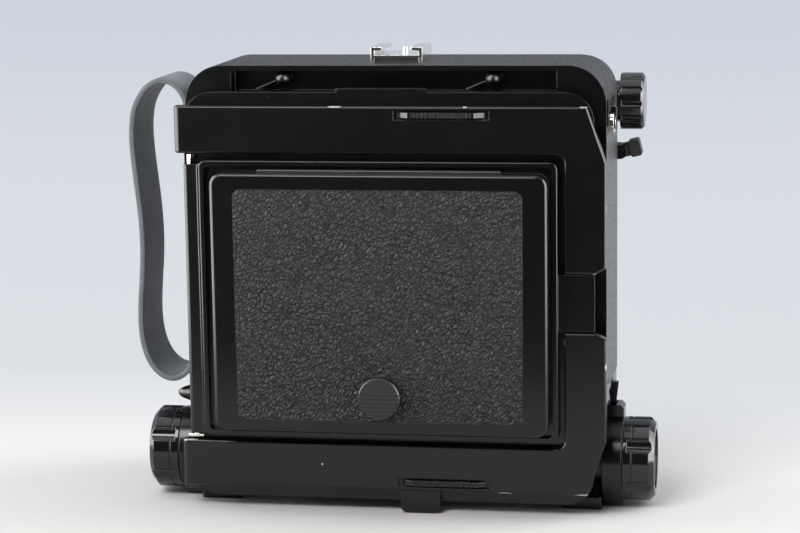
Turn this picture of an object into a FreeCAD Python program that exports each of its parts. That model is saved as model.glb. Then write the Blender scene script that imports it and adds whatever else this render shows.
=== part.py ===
"""Large format field camera, folded, seen from the film side.

Frame: X to the right as seen from behind, Y forward (the way the lens looks), Z up.
The origin is on the floor plane, on the axis of the tripod socket. Millimetres.
"""

import FreeCAD
import Part
import math
import os

V = FreeCAD.Vector
CLEAR = 0.3              # between bodies at curved faces

# Film and back
AXIS_Z = 90.0            # film and lens axis above the floor
HOLDER_GAP = 120.7       # opening between the lock plates, the width of a 4x5 film holder
BACK_HALF_H = 80.0       # lock plates, outer edge above and below the film axis
BACK_HALF_W = 88.8       # lock plates, right edge
BACK_LEFT = 89.4         # lock plates, left edge
PLATE_T = 4.4            # lock plate thickness
PLATE_ROUND = 1.0        # their rounded rear edges
PLATE_END_ROUND = 2.4    # and their rounder left ends
PLATE_REAR = -52.0       # rear face of the lock plates
PLATE_PLAY = 0.1         # lock plates to the revolving plate
PLATE_STEP_X = 71.7      # inner edge of the lock plates' upright arms
ARM_END_TOP = 12.0       # lower end of the upper arm, above the film axis
ARM_END_BOTTOM = 12.2    # upper end of the lower arm, below the film axis
ARM_TOP_X = 81.0         # the upright arm's slanted shoulder starts here, at the outer edge
ARM_TOP_Z = 57.3         # and ends here, at the side
ARM_END_X = 84.2         # the arm's lower end is nipped off beyond this
PLATE_TAB_X = (3.3, 19.7)  # the lower plate's finger tab
PLATE_TAB_T = 2.8
PLATE_TAB_LOW = 0.6
RIDGE_X0 = 4.0
RIDGE_X1 = 40.0
RIDGE_TEETH = 15
RIDGE_Z = 76.4           # ridge centre above (and below) the film axis

SLAB_T = 5.0             # revolving plate
SLAB_X0 = -86.2
SLAB_X1 = 83.5
SLAB_HALF_H = 85.3
SLAB_CORNER = 12.0
BUMP_X = (-23.5, 17.0)   # the bump on its upper edge
BUMP_H = 1.5
FILM_W = 122.0           # opening behind the film holder
FILM_H = 98.0

RING_R = 83.0            # revolving ring
RING_BORE = 77.5
RING_PLAY = 0.3

# Spring back and focusing hood
STRIP_X0 = -85.9         # the frame's left edge, past the border
BACK_REAR = -54.2        # rear face of the raised border
HOOD_CX = -3.0
HOOD_W = FILM_W + 16.5
HOOD_H = FILM_H + 9.4
BORDER_X0 = HOOD_CX - HOOD_W / 2 - 6.55
BORDER_X1 = HOOD_CX + HOOD_W / 2 + 3.05
BORDER_HALF_H = HOOD_H / 2 + 4.1
BORDER_STEP = 1.3        # the lower step round the border
TAB_END_X = 84.1         # outer end of the finger tab
HOOD_REAR = -63.4        # rear face of the closed hood
HOOD_WALL = 2.0
HOOD_CORNER = 5.0
PANEL_X0 = HOOD_CX - HOOD_W / 2 + 9.85
PANEL_X1 = HOOD_CX + HOOD_W / 2 - 10.25
PANEL_Z0 = 5.5 - HOOD_H / 2
PANEL_Z1 = HOOD_H / 2 - 6.4
SKIN_T = 0.8             # leather covering
CATCH_R = 8.65
CATCH_H = 3.5
CATCH_Z = 15.7 - HOOD_H / 2
GLASS_T = 2.0
LEAF_T = 0.9
LEAF_REACH = 34.0
LID_BARREL_R = 1.0       # the hinge roll along the lid's upper edge
LID_BARREL_X = 50.0      # its half length

# Housing
HOUSE_HALF_W = 87.8
HOUSE_TOP = 185.4
HOUSE_CORNER = 16.0
HOUSE_WALL = 2.8
RIM_REAR = -37.6         # rear face of the housing
RIM_DEPTH = 10.0         # the rear frame's depth
FRAME_T = 4.0            # its back wall
HOUSE_FRONT = 18.0
SIDE_LOW = 50.0          # lower end of the side walls
FRAME_LOW = 10.0         # lower end of the rear frame
FRAME_LOW_HALF_W = 81.6
LIP_T = 0.6              # bare edge of the rim behind the leather
FRAME_WINDOW = 114.0     # light opening in the back wall, within the ring's bore
BELLOWS_OUT = 124.0
BELLOWS_IN = 112.0
POCKET_X0 = -68.0        # recess above the revolving plate
POCKET_X1 = 67.5
POCKET_Z1 = HOUSE_TOP - 2.2
POCKET_Z0 = POCKET_Z1 - 8.7
POCKET_DEPTH = 8.0
WIRE_PIN_X = (-47.0, 41.0)

# Base
FLOOR_GAP = 0.8          # middle of the base above the floor
BASE_TOP = 5.0
CHEEK_IN = 86.0
BASE_HALF_W = CHEEK_IN - 0.5
SKID_IN = 68.5
BASE_REAR = -36.0
BASE_MID_REAR = -31.0
BASE_FRONT = 24.0
SHAFT_Y = -24.0          # focusing shaft, which is also the tilt axis
SHAFT_Z = 19.5
SHAFT_R = 3.0
CHEEK_T = 8.0
CHEEK_OUT = CHEEK_IN + CHEEK_T
CHEEK_R = 17.6
HORN_TOP = 42.3          # upper end of the right cheek's horn
HORN_Y = (-25.0, -15.0)
TILT_LOCK_Y = -22.0
TILT_LOCK_Z = 42.8
TILT_EAR_OUT = CHEEK_IN + 4.6
TILT_CONE_IN = TILT_EAR_OUT + CLEAR
FOCUS_LOCK_Y = -20.0
FOCUS_LOCK_Z = 37.0
BLADE_IN = CHEEK_IN + 2.0
BLADE_OUT = BLADE_IN + 2.6
LEVER_PIN_R = 1.0
LEG_OUT = CHEEK_IN - 0.6
LEG_IN = LEG_OUT - 3.4
LEG_EYE_R = 12.0
SKIRT_T = 1.4
BUSH_R = 6.0
FIT = 0.05               # running fit, radial
TRIPOD_R = 3.175         # 1/4 inch thread
TRIPOD_DEPTH = 4.5

# Focusing drive
MODULE = 1.0
TEETH = 12
GEAR_IN = 66.0
GEAR_OUT = 74.0
PINION_IN = 70.3
RACK_OUT = 69.7
RAIL_IN = 58.0
RAIL_OUT = 76.0
RAIL_Z0 = 8.0
RAIL_Z1 = 12.2
RAIL_REAR = -29.5
RAIL_FRONT = 26.5
RACK_FRONT = 6.0         # the toothed strip ends here
GUIDE_OUT = 80.4
GUIDE_FRONT = 9.0
TRACK_TRAVEL = 16.0

# Focusing knobs
KNOB_R = 17.5
KNOB_IN = CHEEK_OUT + 0.5
KNOB_T = 12.9
KNOB_OUT = KNOB_IN + KNOB_T
KNOB_LOBES = 6
KNOB_CAP = 5.0           # solid end of the knob past the shaft
KNOB_LOBE_R = 4.6        # radius of the hollows between the lobes

# Bed
HINGE_Y = 33.0
HINGE_Z = 7.0
HINGE_R = 3.2
HINGE_PIN_R = 1.5
HINGE_ARM = (44.0, 52.0)            # the base's arms, in X
HINGE_KNUCKLES = ((34.0, 43.6), (52.4, 57.4))
BED_INSET = 1.8          # the bed lies this far inside the housing's outline
BED_HALF_W = HOUSE_HALF_W - BED_INSET
BED_TOP = HOUSE_TOP - BED_INSET
BED_CORNER = HOUSE_CORNER - BED_INSET
BED_WALL = 2.5
BED_REAR = HOUSE_FRONT + 0.3
BED_IN = 36.5
BED_OUT = 39.2
BED_LOW = 3.5
BED_RAIL_LOW = 17.5
BED_RAIL_TOP = BED_TOP - 15.6
BED_RAIL_IN_Y = 27.5     # faces of the bed's rails when folded
BED_RAIL_OUT_Y = 32.0

# Braces
BRACE_T = 1.8
BRACE_W = 7.0
BRACE_PIN_R = 1.5
BRACE_UP_X = 81.7        # inner face of the upper links
BRACE_LOW_X = 79.6       # inner face of the lower links
BRACE_P = (15.0, 105.5)  # pivot on the housing, Y and Z
BRACE_Q = (24.0, 106.6)  # pivot on the bed, folded

# Front standard
CARRIAGE_Z0 = 12.4
CARRIAGE_Z1 = 15.0
CARRIAGE_HALF_W = 57.4
CARRIAGE_REAR = -30.8
CARRIAGE_FRONT = 6.0
WING_HALF_W = 64.5
WING_FRONT = -24.0
STD_REAR = -6.0
STD_T = 9.0
STD_BAR_TOP = 28.0
STD_FOOT_Z = 24.5        # the uprights start above the rails' path
STD_TOP = 152.0
BOARD = 110.0            # lens board, square
LENS_FRAME_HALF = BOARD / 2 + 3
LENS_OPENING = BOARD - 14
UPRIGHT_IN = LENS_FRAME_HALF + CLEAR
UPRIGHT_OUT = UPRIGHT_IN + 4.7
BOARD_T = 3.0
LENS_FRAME_T = 9.5
BOARD_HOLE_R = 20.8      # Ø41.6 shutter hole
RISE = 15.0
RISE_LOCK_Y = -1.5
RISE_LOCK_Z = 89.0
RISE_LOCK_R = 6.5
RISE_STEM_R = 1.3
RISE_STEM_IN = 53.0      # the stem's inner end, in the rising frame's side

# Strap and fittings
STRAP_T = 2.4
STRAP_Y0 = -26.0
STRAP_Y1 = 6.0
SHOE_W = 21.5
SHOE_Y0 = -27.0
SHOE_Y1 = -2.0
SHOE_H = 6.5
SHOE_SLOT_W = 18.6
CATCH_KNOB_R = 12.2
CATCH_KNOB_Y = BED_REAR + 9.3
CATCH_KNOB_Z = BED_TOP - 19.1
CATCH_KNOB_IN = BED_HALF_W - 1.6
CATCH_KNOB_OUT = CATCH_KNOB_IN + 14.6
CATCH_HUB_R = 8.9        # its hub stands clear of the housing's edge
CATCH_DISC_IN = HOUSE_HALF_W + 1.0
CATCH_BOSS_IN = CATCH_KNOB_IN - 2.4
CATCH_SPINDLE_R = 3.0
CATCH_KNOB_FLUTES = 12
LEVER_X = BED_HALF_W + 2.7          # the release lever's pin
LEVER_Y = BED_REAR + 5.7
LEVER_Z = CATCH_KNOB_Z - 21.1
LEVER_TILT = 14.0
LUG_T = 0.8
LOOP_Y = (-35.0, -23.0)  # the plated loop on the right wall
LOOP_Z = (HOUSE_TOP - 28.1, HOUSE_TOP - 19.7)
LOOP_T = 1.8
LOOP_BAR = 1.8
SCREW_R = 1.5
GUIDE_SCREW_X = 62.0
GUIDE_SCREW_Y = (-20.0, 2.0)
FRAME_SCREW_X = 78.0
FRAME_SCREW_Z = (24.0, 100.0)

SLAB_REAR = PLATE_REAR + PLATE_T + PLATE_PLAY
SLAB_FRONT = SLAB_REAR + SLAB_T
RING_FRONT = RIM_REAR - RING_PLAY
SHELL_HALF_W = HOUSE_HALF_W - SKIN_T
SHELL_TOP = HOUSE_TOP - SKIN_T
SHELL_CORNER = HOUSE_CORNER - SKIN_T
HOUSE_REAR = RIM_REAR + RIM_DEPTH


def block(x0, x1, y0, y1, z0, z1):
    return Part.makeBox(x1 - x0, y1 - y0, z1 - z0, V(x0, y0, z0))


def rod_x(x0, x1, y, z, r):
    return Part.makeCylinder(r, x1 - x0, V(x0, y, z), V(1, 0, 0))


def rod_y(y0, y1, x, z, r):
    return Part.makeCylinder(r, y1 - y0, V(x, y0, z), V(0, 1, 0))


def rod_z(z0, z1, x, y, r):
    return Part.makeCylinder(r, z1 - z0, V(x, y, z0), V(0, 0, 1))


def fuse(*shapes):
    body = shapes[0]
    for other in shapes[1:]:
        body = body.fuse(other)
    return body.removeSplitter()


def cut(body, *tools):
    for tool in tools:
        body = body.cut(tool)
    return body


def mirrored(shape):
    return shape.mirror(V(0, 0, 0), V(1, 0, 0))


def pair(shape):
    return [shape, mirrored(shape)]


def round_edges(shape, radius, test):
    edges = [e for e in shape.Edges if test(e)]
    return shape.makeFillet(radius, edges)


def bevel_edges(shape, size, test):
    edges = [e for e in shape.Edges if test(e)]
    return shape.makeChamfer(size, edges)


def along(edge, axis):
    """True when a straight edge runs along an axis, given as 0, 1 or 2 for X, Y or Z."""
    if not isinstance(edge.Curve, Part.Line):
        return False
    d = edge.Vertexes[-1].Point - edge.Vertexes[0].Point
    return abs(d[axis]) > 0.999 * d.Length


def on_plane(edge, axis, value):
    """True when every end of an edge lies on the plane at that value of the axis."""
    return all(abs(v.Point[axis] - value) < 1e-4 for v in edge.Vertexes)


def plate_xz(points, y0, y1):
    """A flat outline of X and Z points, given a thickness along Y."""
    wire = Part.makePolygon([V(x, y0, z) for x, z in points + points[:1]])
    return Part.Face(wire).extrude(V(0, y1 - y0, 0))


def plate_yz(points, x0, x1):
    """A flat outline of Y and Z points, given a thickness along X."""
    wire = Part.makePolygon([V(x0, y, z) for y, z in points + points[:1]])
    return Part.Face(wire).extrude(V(x1 - x0, 0, 0))


def rounded_xz(x0, x1, z0, z1, y0, y1, r):
    """A block with its four edges along Y rounded."""
    return round_edges(block(x0, x1, y0, y1, z0, z1), r, lambda e: along(e, 1))


def arched_xz(half_w, z0, z1, y0, y1, r):
    """A block whose two upper edges along Y are rounded."""
    body = block(-half_w, half_w, y0, y1, z0, z1)
    return round_edges(body, r, lambda e: along(e, 1) and e.Vertexes[0].Z > (z0 + z1) / 2)


def gear(x0, x1, y, z, turn):
    """A spur gear along X, with a flat flank to each tooth and room for backlash."""
    pitch_r = MODULE * TEETH / 2
    tip_r = pitch_r + 0.85 * MODULE
    root_r = pitch_r - 1.15 * MODULE
    step = 2 * math.pi / TEETH
    points = []
    for k in range(TEETH):
        centre = turn + k * step
        for r, half in ((root_r, 0.27), (tip_r, 0.105), (tip_r, -0.105), (root_r, -0.27)):
            a = centre - half * step
            points.append((y + r * math.cos(a), z + r * math.sin(a)))
    return plate_yz(points, x0, x1)


def screw_body(r, length):
    """A countersunk screw without its slot, head face at z = 0, pointing down."""
    head = Part.makeCone(r, 2 * r, 1.2 * r, V(0, 0, -1.2 * r))
    return fuse(head, Part.makeCylinder(r, length, V(0, 0, -length)))


def countersunk(r, length):
    return screw_body(r, length).cut(block(-2.2 * r, 2.2 * r, -0.2 * r, 0.2 * r, -0.5 * r, 0.1))


def placed(shape, x, y, z, axis=(1, 0, 0), angle=0.0):
    shape = shape.copy()
    shape.rotate(V(0, 0, 0), V(*axis), angle)
    shape.translate(V(x, y, z))
    return shape


def lock_plate():
    """The upper lock plate: a wide bar with an arm down its right side and a thumb ridge."""
    inner = HOLDER_GAP / 2
    outer = BACK_HALF_H
    w = BACK_HALF_W
    points = [
        (-BACK_LEFT, inner), (-BACK_LEFT, outer), (ARM_TOP_X, outer), (w, ARM_TOP_Z),
        (w, ARM_END_TOP + 2.5), (ARM_END_X, ARM_END_TOP), (PLATE_STEP_X, ARM_END_TOP),
        (PLATE_STEP_X, inner),
    ]
    body = plate_xz(points, PLATE_REAR, PLATE_REAR + PLATE_T)
    body = round_edges(body, 3.5, lambda e: along(e, 1) and abs(e.Vertexes[0].X - PLATE_STEP_X) < 0.1
                       and abs(e.Vertexes[0].Z - inner) < 0.1)
    body = round_edges(body, PLATE_END_ROUND, lambda e: on_plane(e, 1, PLATE_REAR) and along(e, 2)
                       and e.BoundBox.XMax < 1 - BACK_LEFT)
    end_x = PLATE_END_ROUND + 0.1 - BACK_LEFT
    body = round_edges(body, PLATE_ROUND, lambda e: on_plane(e, 1, PLATE_REAR)
                       and not (along(e, 2) and e.BoundBox.XMax < end_x))
    slot = block(RIDGE_X0 - 1.6, RIDGE_X1 + 1.6, PLATE_REAR - 1, PLATE_REAR + 1.6,
                 RIDGE_Z - 1.9, RIDGE_Z + 1.9)
    return fuse(cut(body, slot), thumb_ridge())


def thumb_ridge():
    """A low bar with tapered ends and fine teeth, standing in its slot."""
    top = PLATE_REAR - 1.2
    foot = PLATE_REAR + 1.7
    half = 1.1
    points = [(RIDGE_X0, foot), (RIDGE_X0 + 4.5, top), (RIDGE_X1 - 4.5, top), (RIDGE_X1, foot)]
    wire = Part.makePolygon([V(x, y, RIDGE_Z - half) for x, y in points + points[:1]])
    bar = Part.Face(wire).extrude(V(0, 0, 2 * half))
    pitch = (RIDGE_X1 - RIDGE_X0 - 11.0) / RIDGE_TEETH
    for k in range(RIDGE_TEETH):
        x = RIDGE_X0 + 5.5 + (k + 0.5) * pitch
        bar = bar.cut(block(x - pitch / 4, x + pitch / 4, top - 1, top + 0.6,
                            RIDGE_Z - half - 1, RIDGE_Z + half + 1))
    return bar


def top_lock_plate():
    return placed(lock_plate(), 0, 0, AXIS_Z)


def bottom_lock_plate():
    """The lower lock plate, the upper one's mirror image in the film axis, with a finger tab under it."""
    flipped = lock_plate().mirror(V(0, 0, 0), V(0, 0, 1))
    drop = ARM_END_BOTTOM - ARM_END_TOP
    plate = placed(flipped, 0, 0, AXIS_Z - drop)
    x0, x1 = PLATE_TAB_X
    front = PLATE_REAR + PLATE_T
    root = AXIS_Z - BACK_HALF_H - drop + 1.5
    tab = block(x0, x1, front - PLATE_TAB_T, front, PLATE_TAB_LOW, root)
    tab = round_edges(tab, 2.0, lambda e: along(e, 1) and e.Vertexes[0].Z < PLATE_TAB_LOW + 0.1)
    return fuse(plate, tab)


def revolving_plate():
    body = rounded_xz(SLAB_X0, SLAB_X1, AXIS_Z - SLAB_HALF_H, AXIS_Z + SLAB_HALF_H,
                      SLAB_REAR, SLAB_FRONT, SLAB_CORNER)
    x0, x1 = BUMP_X
    top = AXIS_Z + SLAB_HALF_H
    foot = top - SLAB_T
    bump = plate_xz([(x0, foot), (x0 + 2, top + BUMP_H), (x1 - 2, top + BUMP_H), (x1, foot)],
                    SLAB_REAR, SLAB_FRONT)
    window = rounded_xz(HOOD_CX - FILM_W / 2, HOOD_CX + FILM_W / 2, AXIS_Z - FILM_H / 2,
                        AXIS_Z + FILM_H / 2, SLAB_REAR - 1, SLAB_FRONT + 1, 4.0)
    return cut(fuse(body, bump), window)


def revolving_ring():
    ring = rod_y(SLAB_FRONT, RING_FRONT, 0, AXIS_Z, RING_R)
    return ring.cut(rod_y(SLAB_FRONT - 1, RING_FRONT + 1, 0, AXIS_Z, RING_BORE))


def back_springs():
    """Two bowed leaf springs, one each side of the glass, that press the spring back down."""
    springs = []
    for x in (BORDER_X0 + 1.4, BORDER_X1 - 3.6):
        leaf = block(x, x + 2.2, SLAB_REAR - 0.5, SLAB_REAR, AXIS_Z - 46, AXIS_Z + 46)
        springs.append(leaf)
    return Part.makeCompound(springs)


def spring_back_frame():
    """The ground glass frame: raised border, left strip and right finger tab."""
    rear = BACK_REAR
    front = SLAB_REAR - 0.6
    half = BORDER_HALF_H
    outer = rounded_xz(BORDER_X0, BORDER_X1, AXIS_Z - half, AXIS_Z + half, rear, front, 3.0)
    strip = block(STRIP_X0, BORDER_X0 + 2, PLATE_REAR + 0.6, front, AXIS_Z - half, AXIS_Z + half - 2)
    strip = round_edges(strip, 1.6, lambda e: along(e, 2) and on_plane(e, 1, PLATE_REAR + 0.6)
                        and on_plane(e, 0, STRIP_X0))
    tab = block(BORDER_X1 - 2, TAB_END_X, PLATE_REAR + 0.7, front, AXIS_Z - 12.0 + CLEAR,
                AXIS_Z + ARM_END_TOP - CLEAR)
    step = rounded_xz(BORDER_X0 - BORDER_STEP, BORDER_X1 - 4, AXIS_Z - half, AXIS_Z + half - BORDER_STEP,
                      rear + BORDER_STEP, front, 2.0)
    step = round_edges(step, 0.6, lambda e: along(e, 2) and on_plane(e, 1, rear + BORDER_STEP)
                       and on_plane(e, 0, BORDER_X0 - BORDER_STEP))
    outer = round_edges(outer, 0.6, lambda e: on_plane(e, 1, rear))
    body = fuse(outer, step, strip, tab)
    well = rounded_xz(BORDER_X0 + 2.2, BORDER_X1 - 2.2, AXIS_Z - half + 2.2, AXIS_Z + half - 2.2,
                      rear - 1, rear + 2.4, 2.2)
    window = rounded_xz(HOOD_CX - FILM_W / 2, HOOD_CX + FILM_W / 2, AXIS_Z - FILM_H / 2,
                        AXIS_Z + FILM_H / 2, rear - 1, front + 1, 2.0)
    seat = block(HOOD_CX - FILM_W / 2 - 2.5, HOOD_CX + FILM_W / 2 + 2.5, front - GLASS_T - 1.0,
                 front + 1, AXIS_Z - FILM_H / 2 - 2.5, AXIS_Z + FILM_H / 2 + 2.5)
    return cut(body, well, window, seat)


def ground_glass():
    front = SLAB_REAR - 0.6
    glass = block(HOOD_CX - FILM_W / 2 - 2.3, HOOD_CX + FILM_W / 2 + 2.3, front - GLASS_T - 1.0,
                  front - 1.0, AXIS_Z - FILM_H / 2 - 2.3, AXIS_Z + FILM_H / 2 + 2.3)
    return glass


def glass_clips():
    """Four small flat clips that hold the ground glass in its seat."""
    front = SLAB_REAR - 0.6
    clips = []
    for x in (HOOD_CX - 40, HOOD_CX + 40):
        for side in (-1, 1):
            z = AXIS_Z + side * (FILM_H / 2 + 0.4)
            clips.append(block(x - 5, x + 5, front - 1.0, front - 0.3, z - 1.9, z + 1.9))
    return Part.makeCompound(clips)


def hood_frame():
    """The hood's base: a low wall standing in the well of the ground glass frame."""
    y0 = HOOD_REAR + HOOD_WALL + 3.2
    y1 = BACK_REAR + 2.4
    half_w = HOOD_W / 2 - 0.4
    half_h = HOOD_H / 2 - 0.4
    outer = rounded_xz(HOOD_CX - half_w, HOOD_CX + half_w, AXIS_Z - half_h, AXIS_Z + half_h,
                       y0, y1, HOOD_CORNER - 0.5)
    bore = block(HOOD_CX - FILM_W / 2, HOOD_CX + FILM_W / 2, y0 - 1, y1 + 1,
                 AXIS_Z - FILM_H / 2, AXIS_Z + FILM_H / 2)
    roll_room = rod_x(HOOD_CX - LID_BARREL_X - 1, HOOD_CX + LID_BARREL_X + 1, *lid_hinge(),
                      LID_BARREL_R + CLEAR)
    return cut(outer, bore, roll_room)


def hood_cover():
    """The hood's outer leaf: a shallow lid with rounded edges and a recess for its leather."""
    y1 = HOOD_REAR + HOOD_WALL + 3.0
    body = rounded_xz(HOOD_CX - HOOD_W / 2, HOOD_CX + HOOD_W / 2, AXIS_Z - HOOD_H / 2,
                      AXIS_Z + HOOD_H / 2, HOOD_REAR, y1, HOOD_CORNER)
    body = round_edges(body, 1.6, lambda e: on_plane(e, 1, HOOD_REAR))
    inside = block(HOOD_CX - HOOD_W / 2 + 2, HOOD_CX + HOOD_W / 2 - 2, HOOD_REAR + HOOD_WALL, y1 + 1,
                   AXIS_Z - HOOD_H / 2 + 2, AXIS_Z + HOOD_H / 2 - 2)
    recess = rounded_xz(PANEL_X0, PANEL_X1, AXIS_Z + PANEL_Z0, AXIS_Z + PANEL_Z1,
                        HOOD_REAR - 1, HOOD_REAR + SKIN_T, 3.0)
    slot = fuse(rod_y(HOOD_REAR - 1, y1, -2.6, AXIS_Z + CATCH_Z, 2.6),
                block(-5.2, 0.0, HOOD_REAR - 1, y1, AXIS_Z + CATCH_Z - 3.4, AXIS_Z + CATCH_Z),
                rod_y(HOOD_REAR - 1, y1, -2.6, AXIS_Z + CATCH_Z - 3.4, 2.6))
    barrel = rod_x(HOOD_CX - LID_BARREL_X, HOOD_CX + LID_BARREL_X, *lid_hinge(), LID_BARREL_R)
    return fuse(cut(body, inside, recess, slot), barrel)


def lid_hinge():
    """The lid's hinge line, Y and Z, just past the upper edge of its rim."""
    return HOOD_REAR + HOOD_WALL + 3.8, AXIS_Z + HOOD_H / 2 + 0.2


def hood_leather():
    skin = rounded_xz(PANEL_X0 + 0.1, PANEL_X1 - 0.1, AXIS_Z + PANEL_Z0 + 0.1,
                      AXIS_Z + PANEL_Z1 - 0.1, HOOD_REAR, HOOD_REAR + SKIN_T, 2.9)
    slot = fuse(rod_y(HOOD_REAR - 1, 0, -2.6, AXIS_Z + CATCH_Z, 2.6),
                block(-5.2, 0.0, HOOD_REAR - 1, 0, AXIS_Z + CATCH_Z - 3.4, AXIS_Z + CATCH_Z),
                rod_y(HOOD_REAR - 1, 0, -2.6, AXIS_Z + CATCH_Z - 3.4, 2.6))
    return skin.cut(slot)


def hood_catch_button():
    """A round thumb button with cross grooves, on a stem with a hook behind the lid."""
    z = AXIS_Z + CATCH_Z
    face = HOOD_REAR - CATCH_H
    disc = rod_y(face, HOOD_REAR - 0.1, -2.6, z, CATCH_R)
    disc = bevel_edges(disc, 0.5, lambda e: abs(e.BoundBox.YMax - face) < 1e-3)
    for k in range(6):
        zz = z + 1.5 - 1.7 * k
        disc = disc.cut(block(-20, 20, face - 1, face + 0.5, zz - 0.35, zz + 0.35))
    stem = rod_y(HOOD_REAR - 0.2, HOOD_REAR + HOOD_WALL + 0.8, -2.6, z, 2.3)
    hook = block(-7.0, 1.8, HOOD_REAR + HOOD_WALL + 0.2, HOOD_REAR + HOOD_WALL + 1.4, z - 4, z + 4)
    return fuse(disc, stem, hook)


def hood_leaf_side(side):
    """A side leaf of the hood, folded flat behind the lid, with 45 degree ends."""
    y0 = HOOD_REAR + HOOD_WALL + 1.8
    x0 = HOOD_W / 2 - 3.2
    reach = LEAF_REACH
    half = HOOD_H / 2 - 5.0
    points = [(side * x0, -half), (side * x0, half), (side * (x0 - reach), half - reach),
              (side * (x0 - reach), reach - half)]
    roll = rod_z(-half, half, side * x0, y0 + LEAF_T / 2, LEAF_T / 2)
    leaf = fuse(plate_xz(points, y0, y0 + LEAF_T), roll)
    leaf.translate(V(HOOD_CX, 0, AXIS_Z))
    return leaf


def hood_leaf_bottom():
    """The lower leaf of the hood, folded flat, with 45 degree ends."""
    y0 = HOOD_REAR + HOOD_WALL + 1.8
    x0 = HOOD_W / 2 - 5.0
    z0 = -(HOOD_H / 2 - 3.2)
    reach = LEAF_REACH
    points = [(-x0, z0), (x0, z0), (x0 - reach, z0 + reach), (-(x0 - reach), z0 + reach)]
    roll = rod_x(-x0, x0, y0 + LEAF_T / 2, z0, LEAF_T / 2)
    leaf = fuse(plate_xz(points, y0, y0 + LEAF_T), roll)
    leaf.translate(V(HOOD_CX, 0, AXIS_Z))
    catch_room = block(-8.6, 3.4, y0 - 1, y0 + 3, AXIS_Z + CATCH_Z - 9, AXIS_Z + CATCH_Z + 6)
    return leaf.cut(catch_room)


def bail_pins():
    """The plated ends of the bail that lifts the spring back, above and below its left strip."""
    x = STRIP_X0 + 2.4
    y = (PLATE_REAR + SLAB_REAR) / 2
    top = rod_z(AXIS_Z + BORDER_HALF_H - 2, AXIS_Z + HOLDER_GAP / 2 - 0.6, x, y, 0.9)
    foot_z = AXIS_Z - HOLDER_GAP / 2 + 1.3
    low = rod_z(foot_z, AXIS_Z - BORDER_HALF_H, x, y, 0.9)
    foot = rod_x(x - 3.2, x + 3.2, y, foot_z, 0.9)
    return Part.makeCompound([top, fuse(low, foot)])


def rear_frame():
    """The housing's rear rim and back wall, with the light opening and the upper recess."""
    z0 = SIDE_LOW
    lip = arched_xz(HOUSE_HALF_W, z0, HOUSE_TOP, RIM_REAR, RIM_REAR + LIP_T, HOUSE_CORNER)
    rim = arched_xz(SHELL_HALF_W, z0, SHELL_TOP, RIM_REAR + LIP_T, HOUSE_REAR, SHELL_CORNER)
    low = block(-FRAME_LOW_HALF_W, FRAME_LOW_HALF_W, RIM_REAR, RIM_REAR + FRAME_T, FRAME_LOW, z0 + 1)
    low = round_edges(low, 12.0, lambda e: along(e, 1) and e.Vertexes[0].Z < FRAME_LOW + 1)
    inside = arched_xz(SHELL_HALF_W - HOUSE_WALL, z0 - 1, SHELL_TOP - HOUSE_WALL,
                       RIM_REAR + FRAME_T, HOUSE_REAR + 1, SHELL_CORNER - HOUSE_WALL)
    rib = block(POCKET_X0 - 2.5, POCKET_X1 + 2.5, RIM_REAR + FRAME_T, HOUSE_REAR,
                POCKET_Z0 - 2.5, SHELL_TOP - HOUSE_WALL + 0.1)
    pocket = block(POCKET_X0, POCKET_X1, RIM_REAR - 1, RIM_REAR + POCKET_DEPTH, POCKET_Z0, POCKET_Z1)
    spigot = rod_y(RIM_REAR - 2.0, RIM_REAR + 1, 0, AXIS_Z, RING_BORE - CLEAR)
    light = rod_y(RIM_REAR - 3, RIM_REAR + 0.01, 0, AXIS_Z, RING_BORE - 2.0)
    half = FRAME_WINDOW / 2
    window = rounded_xz(-half, half, AXIS_Z - half, AXIS_Z + half, RIM_REAR - 3,
                        RIM_REAR + FRAME_T + 1, 8.0)
    body = fuse(fuse(lip, rim).cut(inside), low, rib, spigot.cut(light))
    return cut(body, pocket, window, *frame_screw_room())


def body_housing():
    """The housing's shell: side walls, top and the two legs that turn on the base."""
    shell = arched_xz(SHELL_HALF_W, SIDE_LOW, SHELL_TOP, HOUSE_REAR, HOUSE_FRONT, SHELL_CORNER)
    inside = arched_xz(SHELL_HALF_W - HOUSE_WALL, SIDE_LOW - 1, SHELL_TOP - HOUSE_WALL,
                       HOUSE_REAR - 1, HOUSE_FRONT + 1, SHELL_CORNER - HOUSE_WALL)
    body = shell.cut(inside)
    eye = rod_x(LEG_IN, LEG_OUT, SHAFT_Y, SHAFT_Z, LEG_EYE_R)
    leg = plate_yz([(SHAFT_Y - 9.0, SHAFT_Z), (HOUSE_REAR - 4.0, SIDE_LOW), (HOUSE_REAR, SIDE_LOW),
                    (HOUSE_REAR, SIDE_LOW + 12), (HOUSE_REAR + 20, SIDE_LOW + 12),
                    (HOUSE_REAR + 16, SIDE_LOW), (SHAFT_Y + 11.0, SHAFT_Z)], LEG_IN, LEG_OUT)
    skirt = plate_yz([(SHAFT_Y, SHAFT_Z), (SHAFT_Y - 8.0, SIDE_LOW - 14), (SHAFT_Y - 8.0, SIDE_LOW),
                      (HOUSE_REAR, SIDE_LOW), (HOUSE_REAR, SIDE_LOW + 8), (HOUSE_FRONT, SIDE_LOW + 8),
                      (HOUSE_FRONT, SHAFT_Z)], LEG_OUT - SKIRT_T, LEG_OUT)
    leg = fuse(eye, leg, skirt).cut(rod_x(LEG_IN - 1, LEG_OUT + 1, SHAFT_Y, SHAFT_Z, BUSH_R + FIT))
    seat = brace_seat(BRACE_UP_X, SHELL_HALF_W - 1, *BRACE_P)
    return fuse(body, leg, mirrored(leg), seat, mirrored(seat))


def brace_seat(x0, wall_x, y, z):
    """A boss on a side wall and the pin through a link whose inner face is at x0."""
    boss = rod_x(x0 + BRACE_T, wall_x, y, z, 2.6)
    return fuse(boss, rod_x(x0, wall_x, y, z, BRACE_PIN_R))


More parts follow.
